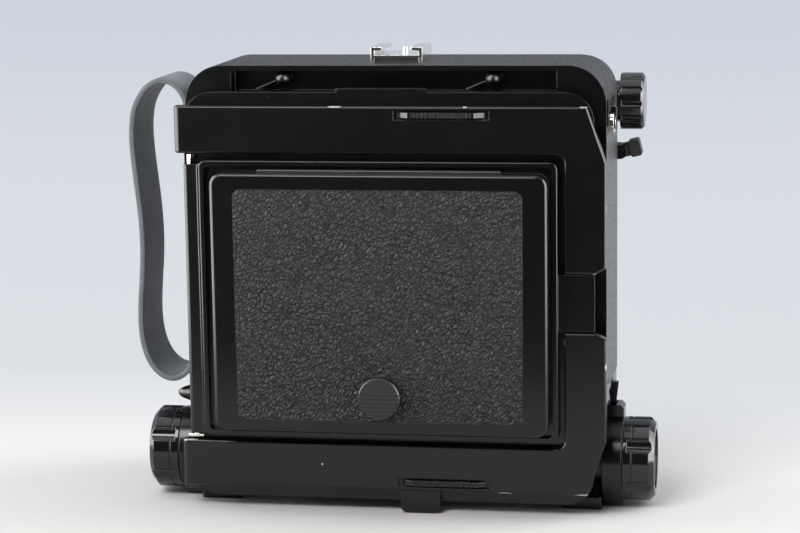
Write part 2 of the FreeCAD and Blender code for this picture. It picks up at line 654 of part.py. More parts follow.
def lever_ears():
    """Two ears on the bed's right wall that carry the release lever's pin."""
    ears = []
    for y in (LEVER_Y - 4.2, LEVER_Y + 2.6):
        ear = fuse(rod_y(y, y + 1.6, LEVER_X, LEVER_Z, 3.2),
                   block(BED_HALF_W - 1, LEVER_X, y, y + 1.6, LEVER_Z - 3.2, LEVER_Z + 3.2))
        ears.append(ear)
    pin = rod_y(LEVER_Y - 4.2, LEVER_Y + 4.2, LEVER_X, LEVER_Z, 1.2)
    return fuse(ears[0], ears[1], pin)


def side_skin_outline(x0, x1):
    """The leather on a side wall, with its slanting lower end."""
    top = HOUSE_TOP - HOUSE_CORNER - 4.0
    return plate_yz([(RIM_REAR + LIP_T, SIDE_LOW + 3.5), (RIM_REAR + LIP_T, top), (HOUSE_FRONT, top),
                     (HOUSE_FRONT, SIDE_LOW), (HOUSE_REAR + 14, SIDE_LOW)], x0, x1)


def side_leathers():
    skin = side_skin_outline(SHELL_HALF_W, HOUSE_HALF_W)
    return Part.makeCompound(pair(skin))


def top_leather():
    """One skin over the top and both upper corners."""
    top = HOUSE_TOP - HOUSE_CORNER - 3.8
    outer = arched_xz(HOUSE_HALF_W, top, HOUSE_TOP, RIM_REAR + LIP_T, HOUSE_FRONT, HOUSE_CORNER)
    inner = arched_xz(SHELL_HALF_W, top - 1, SHELL_TOP, RIM_REAR - 1, HOUSE_FRONT + 1, SHELL_CORNER)
    skin = outer.cut(inner)
    foot_room = block(-SHOE_W / 2 + 1.0, SHOE_W / 2 - 1.0, SHOE_Y0 + 1.0, SHOE_Y1 - 1.0,
                      SHELL_TOP - 1, HOUSE_TOP + 1)
    return skin.cut(foot_room)


def square_tube(y0, y1, outer, inner, r):
    body = rounded_xz(-outer / 2, outer / 2, AXIS_Z - outer / 2, AXIS_Z + outer / 2, y0, y1, r)
    bore = rounded_xz(-inner / 2, inner / 2, AXIS_Z - inner / 2, AXIS_Z + inner / 2, y0 - 1, y1 + 1, r - 1)
    return body.cut(bore)


def bellows_frame():
    """The plate that holds the bellows' rear end on the housing's back wall."""
    return square_tube(RIM_REAR + FRAME_T, RIM_REAR + FRAME_T + 2.0, BELLOWS_OUT + 8, BELLOWS_IN - 2, 8.0)


BELLOWS_Y = (RIM_REAR + FRAME_T + 2.0, -26.0, -10.5, STD_REAR)


def bellows_rear():
    return square_tube(BELLOWS_Y[0], BELLOWS_Y[1], BELLOWS_OUT, BELLOWS_IN, 8.0)


def bellows_middle():
    return square_tube(BELLOWS_Y[1] + 0.2, BELLOWS_Y[2], BELLOWS_OUT - 12, BELLOWS_IN - 10, 8.0)


def bellows_front():
    return square_tube(BELLOWS_Y[2] + 0.2, BELLOWS_Y[3], BELLOWS_OUT - 16, BELLOWS_IN - 14, 7.0)


def wire_catches():
    """Two ball-headed pins in the upper recess, each with a bent double wire."""
    floor = RIM_REAR + POCKET_DEPTH
    z = (POCKET_Z0 + POCKET_Z1) / 2 + 0.75
    catches = []
    for x in WIRE_PIN_X:
        stem = rod_y(floor - 3.6, floor, x, z, 1.2)
        ball = Part.makeSphere(3.1, V(x, floor - 3.6, z))
        wire = Part.makeCylinder(0.45, 11.0, V(x - 1.0, floor - 2.0, z - 0.2), V(-0.92, 0, -0.39))
        other = Part.makeCylinder(0.45, 11.0, V(x - 1.0, floor - 3.4, z - 0.2), V(-0.92, 0, -0.39))
        catches.append(fuse(stem, ball, wire, other))
    return Part.makeCompound(catches)


def accessory_shoe():
    """A plated accessory shoe: raised floor, two walls with inward lips and a stop pin."""
    z0 = HOUSE_TOP
    half = SHOE_W / 2
    wall = 1.4
    body = block(-half, half, SHOE_Y0, SHOE_Y1, z0 + 2.2, z0 + SHOE_H)
    slot = block(-SHOE_SLOT_W / 2, SHOE_SLOT_W / 2, SHOE_Y0 - 1, SHOE_Y1 + 1, z0 + 3.3, z0 + SHOE_H - 1.2)
    throat = block(-6.2, 6.2, SHOE_Y0 - 1, SHOE_Y1 + 1, z0 + 3.4, z0 + SHOE_H + 1)
    skirts = [block(s * half - (wall if s > 0 else 0), s * half + (0 if s > 0 else wall),
                    SHOE_Y0, SHOE_Y1, z0, z0 + 3.0) for s in (-1, 1)]
    stop = rod_z(z0 + 3.0, z0 + 5.0, 0, SHOE_Y1 - 2.0, 1.2)
    return fuse(cut(body, slot, throat), skirts[0], skirts[1], stop)


def shoe_block():
    """The black foot under the shoe, seated on the housing's top."""
    half = SHOE_W / 2 - 1.5
    return block(-half, half, SHOE_Y0 + 1.2, SHOE_Y1 - 1.2, SHELL_TOP, HOUSE_TOP + 2.2)


STRAP_OUTER = [
    (-88.1, 153.0), (-88.1, 160.0), (-88.6, 166.5), (-91.0, 173.3), (-94.4, 177.3), (-98.6, 179.2),
    (-103.2, 179.2), (-107.9, 176.8), (-111.6, 172.4), (-114.8, 166.4), (-116.1, 158.0),
    (-115.9, 147.5), (-114.6, 135.0), (-113.0, 120.5), (-112.5, 108.0), (-112.9, 97.0), (-114.0, 86.0),
    (-114.6, 76.0), (-114.2, 66.5), (-112.2, 58.6), (-108.6, 52.4), (-103.2, 48.4), (-97.5, 48.2),
    (-92.4, 51.6), (-89.0, 57.6), (-88.1, 64.0), (-88.1, 70.0),
]


def strap():
    """The leather carrying strap: one closed band whose ends lie flat on the left wall."""
    outer = [V(x, STRAP_Y0, z) for x, z in STRAP_OUTER]
    inner = []
    last = len(outer) - 1
    for i, p in enumerate(outer):
        t = outer[min(i + 1, last)] - outer[max(i - 1, 0)]
        t.normalize()
        inner.append(p + V(-t.z, 0, t.x) * STRAP_T)
    a = Part.BSplineCurve()
    a.interpolate(outer)
    b = Part.BSplineCurve()
    b.interpolate(list(reversed(inner)))
    edges = [a.toShape(), Part.makeLine(outer[-1], inner[-1]), b.toShape(),
             Part.makeLine(inner[0], outer[0])]
    band = Part.Face(Part.Wire(edges)).extrude(V(0, STRAP_Y1 - STRAP_Y0, 0))
    middle = (STRAP_Y0 + STRAP_Y1) / 2
    for z in STRAP_SCREW_Z:
        band = band.cut(rod_x(-95, -85, middle, z, 1.6))
    return band


STRAP_SCREW_Z = (156.8, 65.6)


def strap_screws():
    middle = (STRAP_Y0 + STRAP_Y1) / 2
    screws = []
    for z in STRAP_SCREW_Z:
        face = -HOUSE_HALF_W - CLEAR - STRAP_T
        head = rod_x(face - 1.5, face - 0.1, middle, z, 3.4)
        shank = rod_x(face - 1.0, -HOUSE_HALF_W, middle, z, 1.5)
        screws.append(fuse(head, shank))
    return Part.makeCompound(screws)


def wall_lugs():
    """The loop's plate with its bridge on the right wall, and a plate by each strap end."""
    x0 = HOUSE_HALF_W
    face = x0 + LUG_T
    z0, z1 = LOOP_Z
    middle = (LOOP_Y[0] + LOOP_Y[1]) / 2
    plate = block(x0, face, LOOP_Y[0] - 1.8, -7.5, z0 + 3.2, z1 + 5.5)
    bridge = block(face - 0.1, face + LOOP_T + 0.9, middle - 2.5, middle + 2.5, z1 - LOOP_BAR, z1 + 2.4)
    bridge = bevel_edges(bridge, 0.6, lambda e: along(e, 1) and on_plane(e, 0, face + LOOP_T + 0.9))
    tunnel = block(face, face + LOOP_T + 0.1, middle - 3, middle + 3, z1 - LOOP_BAR - 1, z1 + 0.1)
    lugs = [fuse(plate, bridge.cut(tunnel))]
    for z in STRAP_SCREW_Z:
        lugs.append(block(-x0 - 2.6, -x0, STRAP_Y0 - 3.0, STRAP_Y0 - CLEAR, z - 4, z + 4))
    return Part.makeCompound(lugs)


def strap_ring():
    """A plated loop that lies flat on the right wall, its upper bar under the bridge."""
    x0 = HOUSE_HALF_W + LUG_T
    y0, y1 = LOOP_Y
    z0, z1 = LOOP_Z
    bar = LOOP_BAR
    outer = round_edges(block(x0, x0 + LOOP_T, y0, y1, z0, z1), 3.9, lambda e: along(e, 0))
    inner = round_edges(block(x0 - 1, x0 + LOOP_T + 1, y0 + bar, y1 - bar, z0 + bar, z1 - bar),
                        2.1, lambda e: along(e, 0))
    return outer.cut(inner)


def bed_catch_knob():
    """The fluted knob on the bed's side, whose hook reaches back inside the housing."""
    x0 = CATCH_KNOB_IN
    x1 = CATCH_KNOB_OUT
    body = rod_x(CATCH_DISC_IN, x1, CATCH_KNOB_Y, CATCH_KNOB_Z, CATCH_KNOB_R)
    body = bevel_edges(body, 1.2, lambda e: abs(e.BoundBox.XMin - x1) < 1e-3 and e.Length > 20)
    for k in range(CATCH_KNOB_FLUTES):
        a = 2 * math.pi * k / CATCH_KNOB_FLUTES
        y = CATCH_KNOB_Y + (CATCH_KNOB_R + 1.6) * math.cos(a)
        z = CATCH_KNOB_Z + (CATCH_KNOB_R + 1.6) * math.sin(a)
        body = body.cut(rod_x(CATCH_DISC_IN + 0.8, x1 + 1, y, z, 2.2))
    hook_x = CATCH_BOSS_IN - 0.3 - 1.8
    spindle = rod_x(hook_x, x0 + 1, CATCH_KNOB_Y, CATCH_KNOB_Z, CATCH_SPINDLE_R)
    hook = block(hook_x, hook_x + 1.8, HOUSE_FRONT - 4.0, CATCH_KNOB_Y, CATCH_KNOB_Z - 2.5,
                 CATCH_KNOB_Z + 2.5)
    hub = rod_x(x0, CATCH_DISC_IN + 1, CATCH_KNOB_Y, CATCH_KNOB_Z, CATCH_HUB_R)
    return fuse(body, hub, spindle, hook)


def release_lever():
    """A flat lever with a square head, on a pin between two ears."""
    px = LEVER_X
    hub = rod_y(LEVER_Y - 2.4, LEVER_Y + 2.4, px, LEVER_Z, 2.4)
    arm = block(px, px + 5.0, LEVER_Y - 2.4, LEVER_Y + 2.4, LEVER_Z - 2.9, LEVER_Z + 2.9)
    head = block(px + 4.2, px + 9.1, LEVER_Y - 3.6, LEVER_Y + 3.6, LEVER_Z - 3.7, LEVER_Z + 3.7)
    head = bevel_edges(head, 0.7, lambda e: along(e, 1))
    body = fuse(hub, arm, head).cut(rod_y(LEVER_Y - 5, LEVER_Y + 5, px, LEVER_Z, 1.2 + FIT))
    body.rotate(V(px, LEVER_Y, LEVER_Z), V(0, -1, 0), LEVER_TILT)
    return body


def frame_screw_places():
    return [(side * FRAME_SCREW_X, z) for side in (-1, 1) for z in FRAME_SCREW_Z]


def housing_screws():
    """The countersunk screws in the rear frame."""
    return Part.makeCompound([placed(countersunk(SCREW_R, FRAME_T), x, RIM_REAR, z, (1, 0, 0), 90)
                              for x, z in frame_screw_places()])


def frame_screw_room():
    return [placed(screw_body(SCREW_R, FRAME_T), x, RIM_REAR, z, (1, 0, 0), 90)
            for x, z in frame_screw_places()]


def base_plate():
    """The base casting: plate, two side skids, tripod boss, bearing floor and hinge arms."""
    middle = block(-BASE_HALF_W, BASE_HALF_W, BASE_MID_REAR, BASE_FRONT, FLOOR_GAP, BASE_TOP)
    skid = block(SKID_IN, BASE_HALF_W, BASE_REAR, BASE_FRONT, 0, BASE_TOP)
    skid = round_edges(skid, 1.5, lambda e: along(e, 2))
    boss = rod_z(0, BASE_TOP, 0, 0, 20.0)
    x0, x1 = HINGE_ARM
    top = HINGE_Z + 0.9
    arm = fuse(block(x0, x1, BASE_FRONT - 1, HINGE_Y, HINGE_Z - HINGE_R, top),
               rod_x(x0, x1, HINGE_Y, HINGE_Z, HINGE_R))
    step = block(x0, x1, BASE_FRONT - 6, BASE_FRONT, BASE_TOP - 1, top)
    arm = fuse(arm, step).cut(rod_x(x0 - 1, x1 + 1, HINGE_Y, HINGE_Z, HINGE_PIN_R + FIT))
    notch = block(-8.0, 24.0, BASE_REAR - 1, SHAFT_Y + 3.0, -1, BASE_TOP + 1)
    socket = rod_z(-1, BASE_TOP + 1, 0, 0, 6.0)
    body = fuse(middle, skid, mirrored(skid), boss, arm, mirrored(arm))
    return cut(body, notch, socket, *base_screw_room())


def tripod_bush():
    bush = rod_z(0, BASE_TOP, 0, 0, 6.0)
    return bush.cut(rod_z(-1, TRIPOD_DEPTH, 0, 0, TRIPOD_R))


def cheek():
    """A side casting: shaft boss, forward arm and the foot that stands beside the base."""
    disc = rod_x(CHEEK_IN, CHEEK_OUT, SHAFT_Y, SHAFT_Z, CHEEK_R)
    arm = plate_yz([(-40.0, 26.0), (-33.0, 33.0), (-8.0, 33.0), (-2.0, 29.0), (8.0, 22.0), (17.0, 16.0),
                    (17.0, 0.6), (-30.0, 0.6), (-36.0, 6.0), (-39.5, 12.0)], CHEEK_IN, CHEEK_OUT)
    foot = block(BASE_HALF_W, CHEEK_IN + 1.0, -30.0, 17.0, 0.6, BASE_TOP)
    return fuse(disc, arm, foot)


def bush_bore():
    return rod_x(CHEEK_IN - 1, CHEEK_OUT + 1, SHAFT_Y, SHAFT_Z, BUSH_R)


def cheek_right():
    """The right cheek, with a slotted horn and the pin that the focus lock's blade turns on."""
    y0, y1 = HORN_Y
    horn = block(CHEEK_IN + 0.8, CHEEK_OUT, y0, y1, SHAFT_Z + 8.0, HORN_TOP)
    horn = bevel_edges(horn, 1.4, lambda e: along(e, 1) and on_plane(e, 0, CHEEK_OUT)
                       and on_plane(e, 2, HORN_TOP))
    slot = block(BLADE_IN - 0.3, BLADE_OUT + 0.3, FOCUS_LOCK_Y - 4.0, FOCUS_LOCK_Y + 4.0,
                 FOCUS_LOCK_Z - 3.0, HORN_TOP + 2)
    pin = rod_x(BLADE_IN - 1, BLADE_OUT + 1, FOCUS_LOCK_Y, FOCUS_LOCK_Z, LEVER_PIN_R)
    return fuse(cut(fuse(cheek(), horn), slot, bush_bore()), pin)


def cheek_left():
    """The left cheek, with the ear that carries the tilt lock's stud."""
    ear = fuse(rod_x(CHEEK_IN, TILT_EAR_OUT, TILT_LOCK_Y, TILT_LOCK_Z, 3.6),
               block(CHEEK_IN, TILT_EAR_OUT, TILT_LOCK_Y - 3.6, TILT_LOCK_Y + 3.6, SHAFT_Z + 8.0,
                     TILT_LOCK_Z))
    stud_bore = rod_x(CHEEK_IN - 1, TILT_EAR_OUT + 1, TILT_LOCK_Y, TILT_LOCK_Z, LEVER_PIN_R + FIT)
    return mirrored(cut(fuse(cheek(), ear), bush_bore(), stud_bore))


def shaft_bushes():
    """Flanged bushes: the shaft turns in them, and the housing's legs turn on them."""
    bush = fuse(rod_x(LEG_IN - 0.4, CHEEK_OUT + 0.3, SHAFT_Y, SHAFT_Z, BUSH_R),
                rod_x(LEG_IN - 1.4, LEG_IN - 0.2, SHAFT_Y, SHAFT_Z, BUSH_R + 2.0))
    bush = bush.cut(rod_x(70, 110, SHAFT_Y, SHAFT_Z, SHAFT_R + FIT))
    return Part.makeCompound(pair(bush))


def track_guide():
    """The right-hand guide: floor under the rail, wall outside it and a lip over its edge."""
    floor = block(RAIL_IN - 1, GUIDE_OUT, RAIL_REAR, GUIDE_FRONT, BASE_TOP, RAIL_Z0 - 0.1)
    wall = block(RAIL_OUT + 0.3, GUIDE_OUT, RAIL_REAR, GUIDE_FRONT, BASE_TOP, SHAFT_Z + 8)
    lip = block(RAIL_OUT - 1.4, RAIL_OUT + 1, RAIL_REAR, GUIDE_FRONT, RAIL_Z1 + 0.2, RAIL_Z1 + 2.2)
    idle_y = SHAFT_Y + MODULE * TEETH
    body = fuse(floor, wall, lip)
    lip_room = rod_x(RAIL_OUT - 3, RAIL_OUT + 0.3, idle_y, SHAFT_Z, 7.6)
    screw_bores = [rod_z(0, RAIL_Z0 + 1, GUIDE_SCREW_X, y, 1.5) for y in GUIDE_SCREW_Y]
    return cut(body, lip_room, *screw_bores,
               rod_x(RAIL_OUT - 1, GUIDE_OUT + 1, SHAFT_Y, SHAFT_Z, SHAFT_R + 0.5),
               rod_x(RAIL_OUT - 1, GUIDE_OUT + 1, idle_y, SHAFT_Z, 2.5 + FIT))


def track_guides():
    return Part.makeCompound(pair(track_guide()))


def rack():
    """A rail with a toothed strip on its inner half and a plain running surface outside it."""
    rail = block(RAIL_IN, RAIL_OUT, RAIL_REAR, RAIL_FRONT, RAIL_Z0, RAIL_Z1)
    pitch = math.pi * MODULE
    line = SHAFT_Z - MODULE * TEETH / 2
    first = SHAFT_Y + MODULE * TEETH
    teeth = []
    k = math.ceil((RAIL_REAR + 1 - first) / pitch)
    while first + k * pitch < RACK_FRONT:
        y = first + k * pitch
        teeth.append(plate_yz([(y - 0.27 * pitch, RAIL_Z1 - 0.1), (y - 0.105 * pitch, line + 0.85 * MODULE),
                               (y + 0.105 * pitch, line + 0.85 * MODULE), (y + 0.27 * pitch, RAIL_Z1 - 0.1)],
                              GEAR_IN, RACK_OUT))
        k += 1
    return fuse(rail, *teeth)


def focus_track():
    """Both rails, tied across front and rear below the standard's plate."""
    rail = rack()
    rear_tie = block(-RAIL_IN - 1, RAIL_IN + 1, RAIL_REAR + 1.5, RAIL_REAR + 5.5, RAIL_Z0,
                     RAIL_Z1 - 0.5)
    tie_front = HINGE_Y - HINGE_R - TRACK_TRAVEL - 1.8
    front_tie = block(-RAIL_IN - 1, RAIL_IN + 1, tie_front - 6.0, tie_front, RAIL_Z0 + 0.3,
                      RAIL_Z1 - 0.5)
    return fuse(rail, mirrored(rail), rear_tie, front_tie)


def focus_shaft():
    """The knob shaft with its two pinions."""
    end = KNOB_OUT - KNOB_CAP
    shaft = rod_x(-end, end, SHAFT_Y, SHAFT_Z, SHAFT_R)
    pinion = gear(PINION_IN, GEAR_OUT, SHAFT_Y, SHAFT_Z, 0.0)
    other = gear(-GEAR_OUT, -PINION_IN, SHAFT_Y, SHAFT_Z, 0.0)
    return fuse(shaft, pinion, other)


def rack_shaft():
    """The cross shaft whose wide gears mesh with the pinions and drive the racks."""
    y = SHAFT_Y + MODULE * TEETH
    half_step = math.pi / TEETH
    shaft = rod_x(-GUIDE_OUT + 0.5, GUIDE_OUT - 0.5, y, SHAFT_Z, 2.5)
    right = gear(GEAR_IN, GEAR_OUT, y, SHAFT_Z, half_step)
    left = gear(-GEAR_OUT, -GEAR_IN, y, SHAFT_Z, half_step)
    return fuse(shaft, right, left)


def focus_knob_right():
    """A six-lobed knob: inner ring, groove, lobed rim with a bevelled face."""
    body = rod_x(KNOB_IN, KNOB_OUT, SHAFT_Y, SHAFT_Z, KNOB_R)
    body = bevel_edges(body, 2.2, lambda e: abs(e.BoundBox.XMin - KNOB_OUT) < 1e-3 and e.Length > 50)
    away = KNOB_R + KNOB_LOBE_R - 1.3
    for k in range(KNOB_LOBES):
        a = 2 * math.pi * (k + 0.5) / KNOB_LOBES
        body = body.cut(rod_x(KNOB_IN + 1.5, KNOB_OUT + 1, SHAFT_Y + away * math.cos(a),
                              SHAFT_Z + away * math.sin(a), KNOB_LOBE_R))
    groove = rod_x(KNOB_IN + 3.4, KNOB_IN + 3.8, SHAFT_Y, SHAFT_Z, KNOB_R + 1)
    groove = groove.cut(rod_x(KNOB_IN + 3, KNOB_IN + 4, SHAFT_Y, SHAFT_Z, KNOB_R - 0.5))
    dish = rod_x(KNOB_OUT - 0.8, KNOB_OUT + 1, SHAFT_Y, SHAFT_Z, KNOB_R - 5.0)
    bore = rod_x(KNOB_IN - 1, KNOB_OUT - KNOB_CAP, SHAFT_Y, SHAFT_Z, SHAFT_R)
    return cut(body, groove, dish, bore)


def focus_knob_left():
    return mirrored(focus_knob_right())


def focus_lock_lever():
    """A small blade rising from the right cheek's horn, with a shoulder to its inner side."""
    y = FOCUS_LOCK_Y
    z = FOCUS_LOCK_Z
    half = 1.5
    hub = rod_x(BLADE_IN, BLADE_OUT, y, z, 2.4)
    shank = block(BLADE_IN, BLADE_OUT, y - half, y + half, z, HORN_TOP + 1.6)
    head = plate_xz([(BLADE_IN, HORN_TOP + 1.2), (BLADE_IN - 0.6, HORN_TOP + 5.2),
                     (BLADE_IN + 1.3, HORN_TOP + 9.4), (BLADE_OUT + 0.9, HORN_TOP + 9.0),
                     (BLADE_OUT, HORN_TOP + 1.2)], y - half, y + half)
    return fuse(hub, shank, head).cut(rod_x(BLADE_IN - 1, BLADE_OUT + 1, y, z, LEVER_PIN_R + FIT))


def tilt_lock_left():
    """The tilt lock: a blunt tapered knob with three flutes, on a stud in the left cheek's ear."""
    profile = [(0.0, 0.0), (0.0, 3.8), (2.3, 3.4), (5.1, 2.5), (6.6, 1.7), (7.4, 0.8), (7.4, 0.0)]
    wire = Part.makePolygon([V(TILT_CONE_IN + x, TILT_LOCK_Y, TILT_LOCK_Z + r)
                             for x, r in profile + profile[:1]])
    cone = Part.Face(wire).revolve(V(0, TILT_LOCK_Y, TILT_LOCK_Z), V(1, 0, 0), 360)
    flutes = 3
    for k in range(flutes):
        a = 2 * math.pi * k / flutes
        cone = cone.cut(rod_x(TILT_CONE_IN + 1.2, TILT_CONE_IN + 9, TILT_LOCK_Y + 4.9 * math.cos(a),
                              TILT_LOCK_Z + 4.9 * math.sin(a), 1.9))
    stud = rod_x(CHEEK_IN + 1.6, TILT_CONE_IN + 1, TILT_LOCK_Y, TILT_LOCK_Z, LEVER_PIN_R)
    return mirrored(fuse(cone, stud))


def bed_hinge_pins():
    pin = rod_x(HINGE_KNUCKLES[0][0] - 0.4, HINGE_KNUCKLES[1][1], HINGE_Y, HINGE_Z, HINGE_PIN_R)
    return Part.makeCompound(pair(pin))


def base_screw_places():
    return [(side * GUIDE_SCREW_X, y) for side in (-1, 1) for y in GUIDE_SCREW_Y]


def base_screws():
    """Countersunk screws under the base that hold the track guides."""
    return Part.makeCompound([placed(countersunk(SCREW_R, RAIL_Z0 - 2.0), x, y, FLOOR_GAP, (1, 0, 0), 180)
                              for x, y in base_screw_places()])


def base_screw_room():
    return [placed(screw_body(SCREW_R, RAIL_Z0 - 2.0), x, y, FLOOR_GAP, (1, 0, 0), 180)
            for x, y in base_screw_places()]


def front_standard():
    """The standard's sliding plate, cross bar and two uprights, slotted for the rise lock."""
    plate = block(-CARRIAGE_HALF_W, CARRIAGE_HALF_W, CARRIAGE_REAR, CARRIAGE_FRONT, CARRIAGE_Z0,
                  CARRIAGE_Z1)
    wings = block(-WING_HALF_W, WING_HALF_W, CARRIAGE_REAR, WING_FRONT, CARRIAGE_Z0, CARRIAGE_Z1)
    web = block(-CARRIAGE_HALF_W, CARRIAGE_HALF_W, STD_REAR, CARRIAGE_FRONT, CARRIAGE_Z1 - 0.01,
                STD_BAR_TOP)
    foot = block(-UPRIGHT_OUT, UPRIGHT_OUT, STD_REAR, STD_REAR + STD_T, STD_FOOT_Z, STD_BAR_TOP)
    upright = block(UPRIGHT_IN, UPRIGHT_OUT, STD_REAR, STD_REAR + STD_T, STD_FOOT_Z, STD_TOP)
    upright = round_edges(upright, 3.0, lambda e: along(e, 0) and e.Vertexes[0].Z > STD_TOP - 1)
    body = fuse(plate, wings, web, foot, upright, mirrored(upright))
    slot_half = RISE_STEM_R + 0.2
    slot = block(UPRIGHT_IN - 1, UPRIGHT_OUT + 1, RISE_LOCK_Y - slot_half, RISE_LOCK_Y + slot_half,
                 RISE_LOCK_Z - RISE_STEM_R - 1.2, RISE_LOCK_Z + RISE + RISE_STEM_R + 1.2)
    return body.cut(slot)


def lens_frame():
    """The frame that rises between the uprights and carries the lens board."""
    half = LENS_FRAME_HALF
    body = rounded_xz(-half, half, AXIS_Z - half, AXIS_Z + half, STD_REAR, STD_REAR + LENS_FRAME_T, 4.0)
    window = rounded_xz(-LENS_OPENING / 2, LENS_OPENING / 2, AXIS_Z - LENS_OPENING / 2,
                        AXIS_Z + LENS_OPENING / 2, STD_REAR - 1, STD_REAR + 11, 4.0)
    seat = block(-BOARD / 2 - 0.2, BOARD / 2 + 0.2, STD_REAR + LENS_FRAME_T - BOARD_T, STD_REAR + 11,
                 AXIS_Z - BOARD / 2 - 0.2, AXIS_Z + BOARD / 2 + 0.2)
    stem_bore = rod_x(RISE_STEM_IN - 0.3, half + 1, RISE_LOCK_Y, RISE_LOCK_Z, RISE_STEM_R + FIT)
    return cut(body, window, seat, stem_bore)


def lens_board():
    y1 = STD_REAR + LENS_FRAME_T
    board = rounded_xz(-BOARD / 2, BOARD / 2, AXIS_Z - BOARD / 2, AXIS_Z + BOARD / 2,
                       y1 - BOARD_T, y1, 2.0)
    return board.cut(rod_y(y1 - BOARD_T - 1, y1 + 1, 0, AXIS_Z, BOARD_HOLE_R))


def board_latch():
    """A slide over the board's top edge."""
    y = STD_REAR + LENS_FRAME_T
    z = AXIS_Z + BOARD / 2
    body = block(-14, 14, y + 0.1, y + 1.5, z - 2.0, z + 2.6)
    rib = block(-8, 8, y + 1.4, y + 2.8, z - 0.2, z + 1.4)
    return fuse(body, rib)


def rise_lock_knob():
    """The knurled screw that locks the rising frame, outside the right upright."""
    x0 = UPRIGHT_OUT + 0.3
    body = rod_x(x0, x0 + 7.0, RISE_LOCK_Y, RISE_LOCK_Z, RISE_LOCK_R)
    for k in range(8):
        a = 2 * math.pi * k / 8
        body = body.cut(rod_x(x0 - 1, x0 + 8, RISE_LOCK_Y + (RISE_LOCK_R + 1.1) * math.cos(a),
                              RISE_LOCK_Z + (RISE_LOCK_R + 1.1) * math.sin(a), 1.9))
    return fuse(body, rod_x(RISE_STEM_IN, x0 + 1, RISE_LOCK_Y, RISE_LOCK_Z, RISE_STEM_R))


def bed_panel():
    """The bed: a tray that closes the front, with hinge knuckles along its lower edge."""
    outer = arched_xz(BED_HALF_W, BED_LOW, BED_TOP, BED_REAR, BED_OUT, BED_CORNER)
    inner = arched_xz(BED_HALF_W - BED_WALL, BED_LOW - 1, BED_TOP - BED_WALL, BED_REAR - 1, BED_IN,
                      BED_CORNER - BED_WALL)
    body = outer.cut(inner)
    body = round_edges(body, 2.2, lambda e: on_plane(e, 1, BED_OUT) and not on_plane(e, 2, BED_LOW))
    toe = block(-100, 100, BED_REAR - 1, BED_IN - 0.01, -1, 9.0)
    body = body.cut(toe)
    low = [e for e in body.Edges if along(e, 0) and on_plane(e, 1, BED_OUT) and on_plane(e, 2, BED_LOW)]
    if low:
        body = body.makeFillet(2.4, low)
    knuckles = []
    for x0, x1 in HINGE_KNUCKLES:
        k = fuse(rod_x(x0, x1, HINGE_Y, HINGE_Z, HINGE_R),
                 block(x0, x1, HINGE_Y, BED_IN + 0.5, HINGE_Z - 2, HINGE_Z + 3))
        k = k.cut(rod_x(x0 - 1, x1 + 1, HINGE_Y, HINGE_Z, HINGE_PIN_R + FIT))
        knuckles += pair(k)
    seat = brace_seat(BRACE_LOW_X, BED_HALF_W - BED_WALL + 0.5, *BRACE_Q)
    body = fuse(body, *knuckles, seat, mirrored(seat), lever_ears())
    floor_x = CATCH_KNOB_IN - CLEAR
    recess = rod_x(floor_x, 100, CATCH_KNOB_Y, CATCH_KNOB_Z, CATCH_HUB_R + CLEAR)
    boss = rod_x(CATCH_BOSS_IN, floor_x, CATCH_KNOB_Y, CATCH_KNOB_Z, CATCH_HUB_R)
    spindle_bore = rod_x(70, 100, CATCH_KNOB_Y, CATCH_KNOB_Z, CATCH_SPINDLE_R + FIT)
    return fuse(body.cut(recess), boss).cut(spindle_bore)


def bed_rails():
    """The bed's own rails, in line with the base's when the bed is open."""
    rail = block(RAIL_IN, RAIL_OUT, BED_RAIL_IN_Y, BED_RAIL_OUT_Y, BED_RAIL_LOW, BED_RAIL_TOP)
    feet = [block(RAIL_IN + 4, RAIL_OUT - 4, BED_RAIL_OUT_Y - 0.01, BED_IN, z, z + 8)
            for z in (BED_RAIL_LOW + 4, AXIS_Z, BED_RAIL_TOP - 14)]
    body = fuse(rail, *feet)
    tie = block(-RAIL_IN - 1, RAIL_IN + 1, BED_RAIL_OUT_Y - 3, BED_RAIL_OUT_Y - 0.5,
                BED_RAIL_TOP - 8, BED_RAIL_TOP - 2)
    return fuse(body, mirrored(body), tie)


def bed_leather():
    return rounded_xz(-BED_HALF_W + 6, BED_HALF_W - 6, 12.0, BED_TOP - 6, BED_OUT, BED_OUT + SKIN_T, 10.0)


def link(x0, y0, z0, y1, z1):
    """A flat brace link, its inner face at x0, with a bore at its first pivot."""
    length = math.hypot(y1 - y0, z1 - z0)
    ny = -(z1 - z0) / length * BRACE_W / 2
    nz = (y1 - y0) / length * BRACE_W / 2
    bar = plate_yz([(y0 + ny, z0 + nz), (y1 + ny, z1 + nz), (y1 - ny, z1 - nz), (y0 - ny, z0 - nz)],
                   x0, x0 + BRACE_T)
    bar = fuse(bar, rod_x(x0, x0 + BRACE_T, y0, z0, BRACE_W / 2),
               rod_x(x0, x0 + BRACE_T, y1, z1, BRACE_W / 2))
    return bar.cut(rod_x(x0 - 1, x0 + BRACE_T + 1, y0, z0, BRACE_PIN_R + FIT))


def brace_knee():
    """Where the two links meet when the bed is folded, hanging below both end pivots.

    Each link is half the distance between the end pivots when the bed is open.
    """
    py, pz = BRACE_P
    qy, qz = BRACE_Q
    open_y = HINGE_Y + (qz - HINGE_Z)
    open_z = HINGE_Z - (qy - HINGE_Y)
    length = math.hypot(open_y - py, open_z - pz) / 2
    half = math.hypot(qy - py, qz - pz) / 2
    drop = math.sqrt(length ** 2 - half ** 2)
    return (py + qy) / 2 + (qz - pz) / (2 * half) * drop, (pz + qz) / 2 - (qy - py) / (2 * half) * drop


def brace_upper():
    return Part.makeCompound(pair(link(BRACE_UP_X, *BRACE_P, *brace_knee())))


